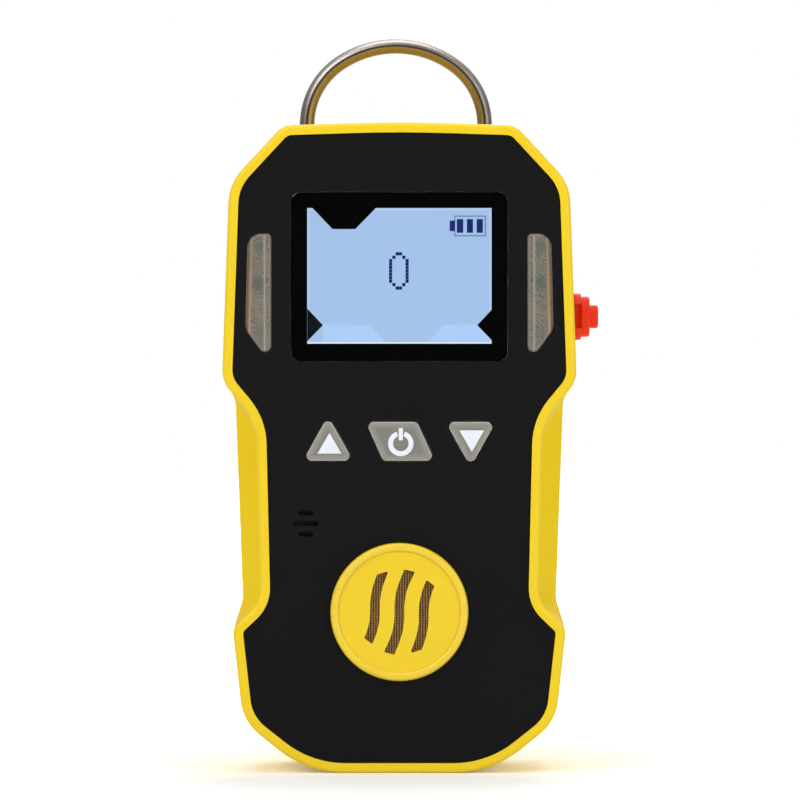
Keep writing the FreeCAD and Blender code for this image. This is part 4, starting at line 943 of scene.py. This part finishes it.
from_flat = from_arc(0.0, FLAT_ARC_Z, FLAT_ARC_R, z)
from_side = from_arc(SIDE_ARC_X, SIDE_ARC_Z, SIDE_ARC_R, wire.sum("MAXIMUM", z, SIDE_ARC_Z))
on_flat = wire.sum("LESS_THAN", across, wire.sum("MULTIPLY", above_arc, FLAT_ARC_LEAN))
outward = wire.add("Mix", {0: on_flat, 2: from_side, 3: from_flat}, data_type="FLOAT").outputs[0]
narrow = [wire.sum("MULTIPLY", part, SCRATCH_NARROW) for part in (outward, y)]
lengthwise = wire.add("CombineXYZ", {0: narrow[0], 1: narrow[1], 2: z}).outputs[0]
drawn = wire.add("TexNoise", {"Vector": lengthwise, "Scale": 0.6, "Detail": 1.0}).outputs[0]
# painted light: the crown is painted lighter and the legs darker, as light falls from above
crown_painted_light_share = wire.spread(z, 0.0, 1.0, LEG_Z, CROWN_Z, soft=True)
legs_painted_shade_tone = wire.mix(drawn, srgb(130, 125, 120), srgb(142, 137, 132))
crown_painted_light_tone = wire.mix(drawn, srgb(192, 184, 178), srgb(200, 192, 186))
# painted reflection: the brown inner side stands for the yellow case mirrored in the wire, parted
# by a painted dark reflection line; the outermost side is painted darker grey as painted shade
painted_case_reflection = wire.mix(drawn, srgb(146, 126, 82), srgb(158, 138, 94))
outermost_painted_shade = wire.spread(outward, 0.0, 0.4, 0.8, 1.3, soft=True)
past_painted_reflection = wire.spread(outward, 0.0, 1.0, -0.05, 0.1, soft=True)
painted_dark_reflection_line = band(wire, outward, 0.02, 0.05, 0.27, 0.85)
tone = wire.mix(crown_painted_light_share, legs_painted_shade_tone, crown_painted_light_tone)
tone = wire.mix(outermost_painted_shade, tone, srgb(130, 125, 120))
tone = wire.mix(past_painted_reflection, painted_case_reflection, tone)
tone = wire.mix(painted_dark_reflection_line, tone, srgb(62, 54, 42))
wire.set(Base_Color=tone, Roughness=wire.spread(drawn, 0.38, 0.42))
give(wire, "bail")

# %% Brushed sheet for the clip
sheet = mottled(
    "brushed_sheet", 0.35, (176, 175, 173), (203, 202, 200), (0.26, 0.42), 0.01,
    detail=3.0, stretch=(1, 1, 0.03), Metallic=1.0)
give(sheet, "clip_base", "clip_lever", "motor_strap", "vibration_motor", "tact_switches")

# %% Turned steel for screws, pin and spring
turned = mottled(
    "turned_steel", 0.25, (150, 150, 152), (182, 182, 184), (0.25, 0.4), 0.006, Metallic=1.0)
give(turned, "clip_pin", "clip_screws", "case_screws", "board_screws", "sensor_board_screws")

# %% [markdown]
# ## The spring of the clip
# A torsion spring closes the clip: a coil round the pin, with one arm on the base and one on the
# lever. It is one wire, so a circle is screwed round the pin's line and its two ends are pulled
# out straight.

# %% Wind the spring
PIN_Y, PIN_Z = 20.4 * MM, 92.0 * MM
WIRE_R = 0.4 * MM
COIL_R = 1.95 * MM
COIL_PITCH = 1.2 * MM
COIL_TURNS = 4.5
COIL_STEPS = 108
WIRE_AROUND = 12
BASE_ARM = (0, -1.0 * MM, 8.0 * MM)
LEVER_ARM = (0, 0.4 * MM, 4.0 * MM)

coil_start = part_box("clip_spring")[0].x + WIRE_R
coil_end = coil_start + COIL_TURNS * COIL_PITCH
spring = circle(WIRE_AROUND, WIRE_R, (coil_start, PIN_Y - COIL_R, PIN_Z), turn=(0, 0, 0))
bpy.context.scene.cursor.location = (0, PIN_Y, PIN_Z)
bpy.ops.object.origin_set(type="ORIGIN_CURSOR")
modify(
    spring, "SCREW", axis="X", angle=2 * math.pi * COIL_TURNS,
    screw_offset=COIL_TURNS * COIL_PITCH, steps=COIL_STEPS, render_steps=COIL_STEPS)
settle()


def pull_arm(across, beside, reach):
    """Pulls the wire end at (across, beside) out to an arm and closes it."""
    wire_end = Vector((across, beside, PIN_Z))
    count = pick(spring, "EDGE", lambda mesh, edge: all(
        (co - wire_end).length < WIRE_R * 1.05 and abs(co.z - PIN_Z) < SAME_PLACE
        for co in ends(mesh, edge)))
    bpy.ops.mesh.extrude_edges_move(TRANSFORM_OT_translate={"value": reach})
    bpy.ops.mesh.edge_face_add()
    bpy.ops.object.mode_set(mode="OBJECT")
    print("arm from", count, "edges")


pull_arm(coil_start, PIN_Y - COIL_R, BASE_ARM)
pull_arm(coil_end, PIN_Y + COIL_R, LEVER_ARM)
finish_piece(spring, "wound_spring", None, turned, ["clip_spring"])
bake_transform(spring)

# %% [markdown]
# ## What is inside
# The case is closed, but its parts are real nodes and get a finish each, so that a picture of the
# opened instrument also looks right: green boards with a faint track pattern, black moulded
# parts, brass turnings, white plastic, foam, rubber and the sleeved battery.

# %% Plain moulded and turned parts inside
INSIDE = [
    # name, grain in mm, dark tone, light tone, roughness, metal, nodes
    ("black_epoxy", 0.5, (20, 20, 21), (32, 32, 34), 0.55, 0.0,
     ["board_chips", "board_links", "buzzer", "sensor_holder", "charge_jack"]),
    ("dark_sensor_can", 1.5, (16, 14, 12), (26, 23, 20), 0.7, 0.0, ["gas_sensor"]),
    ("white_moulding", 4.0, (214, 214, 209), (232, 231, 226), 0.4, 0.0,
     ["backlight_panel", "display_holder", "alarm_leds"]),
    ("turned_brass", 0.3, (182, 146, 74), (208, 172, 96), 0.3, 1.0,
     ["threaded_inserts", "bail_bushings", "motor_weight"]),
    ("black_rubber", 0.8, (20, 20, 20), (34, 34, 34), 0.7, 0.0,
     ["case_seal", "sensor_gasket", "buzzer_membrane"]),
    ("grey_silicone", 1.5, (88, 87, 84), (104, 103, 99), 0.5, 0.0, ["keypad_mat"]),
    ("closed_foam", 0.5, (58, 58, 58), (96, 96, 94), 0.9, 0.0, ["battery_pad"]),
    ("shrink_sleeve", 12.0, (26, 54, 116), (36, 68, 136), 0.3, 0.0, ["battery_cell"]),
]
GLOSS_DRIFT = 0.06
for name, size, dark, light, dull, metal, nodes in INSIDE:
    rough = (dull - GLOSS_DRIFT, dull + GLOSS_DRIFT)
    give(mottled(name, size, dark, light, rough, 0.01, Metallic=metal), *nodes)

# %% Green boards with tracks
TRACKS = {"Scale": 60.0, "Mortar Size": 0.03, "Mortar Smooth": 0.2}
board = Finish("solder_mask", Coat_Weight=0.3)
tracks = board.add("TexBrick", {"Vector": board.place, **TRACKS}).outputs["Fac"]
board.set(
    Base_Color=board.mix(tracks, srgb(14, 84, 44), srgb(30, 118, 66)),
    Roughness=board.spread(board.noise(1.0), 0.3, 0.42),
)
give(board, "main_board", "sensor_board")

# %% [markdown]
# ## Floor, background and lamps
# The instrument stands on a plain white sweep, which glows white to the camera but for a soft
# shade round the foot. Near the foot a weaker glow lightens that shade, and beside the case this
# glow is painted warm, a painted bounce of light from the yellow case. The world is white to the
# camera and a mild grey as light. To gloss and glass it is pale behind and dark in front, as a
# studio is behind the camera, so that the polished window stays black. Large soft lamps give the
# plain light.

# %% White floor
FLOOR_WIDE = 6000.0 * MM
SHADE_FROM, SHADE_TO = 40.0, 170.0
SHADE_FRONT, SHADE_BESIDE = -32.0, -8.0

start_clean()
bpy.ops.mesh.primitive_plane_add(size=FLOOR_WIDE, location=(0, 0, 0))
floor = bpy.context.object
floor.name = "floor"
paper = Finish("white_paper", Roughness=0.9, Specular_IOR_Level=0.0)
x, y, z = paper.axes()
far = paper.spread(paper.length(x, y), 0.0, 1.0, SHADE_FROM, SHADE_TO, soft=True)
beside = paper.spread(y, 0.0, 1.0, SHADE_FRONT, SHADE_BESIDE, soft=True)
# painted bounce light: the floor's glow near the foot, painted warm beside the case
near_foot_painted_glow = paper.mix(beside, (0.12, 0.11, 0.10, 1), (0.30, 0.24, 0.15, 1))
paper.set(
    Base_Color=paper.mix(paper.noise(40.0), (0.86, 0.86, 0.86, 1), (0.88, 0.88, 0.88, 1)),
    Emission_Color=paper.mix(far, near_foot_painted_glow, (1, 1, 1, 1)),
    Emission_Strength=paper.add("LightPath").outputs["Is Camera Ray"],
)
floor.data.materials.append(paper.material)
print("floor of", FLOOR_WIDE, "m")

# %% World
AMBIENT = 0.45
DARK_FRONT, DARK_UNTIL = 0.02, -0.55
PALE_BACK, PALE_FROM = 0.55, 0.15

world = bpy.data.worlds.new("studio")
world.use_nodes = True
bpy.context.scene.world = world
studio = world.node_tree
rays = add_node(studio, "LightPath").outputs
direction = add_node(studio, "TexCoord").outputs["Generated"]
backward = add_node(studio, "SeparateXYZ", {0: direction}).outputs[1]
room = add_node(
    studio, "MapRange",
    {0: backward, 1: DARK_UNTIL, 2: PALE_FROM, 3: DARK_FRONT, 4: PALE_BACK}).outputs[0]
mirrored = add_node(
    studio, "Math", {0: rays["Is Glossy Ray"], 1: rays["Is Transmission Ray"]},
    operation="MAXIMUM").outputs[0]
gloss = add_node(studio, "Mix", {0: mirrored, 2: AMBIENT, 3: room}, data_type="FLOAT").outputs[0]
strength = add_node(
    studio, "Mix", {0: rays["Is Camera Ray"], 2: gloss, 3: 1.0}, data_type="FLOAT").outputs[0]
background = studio.nodes["Background"]
fill(studio, background.inputs["Color"], (1, 1, 1, 1))
fill(studio, background.inputs["Strength"], strength)
print("world lit at", AMBIENT)

# %% Soft lamps
AIM = Vector((0, 0, 65.0)) * MM
LAMPS = [
    # name, place in mm, size in mm, watts, colour
    ("key", (-420, -620, 520), 420, 2.6, (1.0, 0.99, 0.97)),
    ("fill", (520, -560, 260), 420, 1.5, (0.98, 0.99, 1.0)),
    ("top", (0, -60, 760), 480, 1.9, (1.0, 1.0, 1.0)),
    ("back", (120, 620, 420), 420, 1.9, (1.0, 1.0, 1.0)),
]
for name, place, wide, watts, tint in LAMPS:
    lamp_data = bpy.data.lights.new(name, "AREA")
    lamp_data.energy = watts
    lamp_data.size = wide * MM
    lamp_data.color = tint
    lamp = bpy.data.objects.new(name, lamp_data)
    lamp.location = Vector(place) * MM
    lamp.rotation_euler = (AIM - lamp.location).to_track_quat("-Z", "Y").to_euler()
    bpy.context.scene.collection.objects.link(lamp)
    print(name, "lamp,", watts, "W")
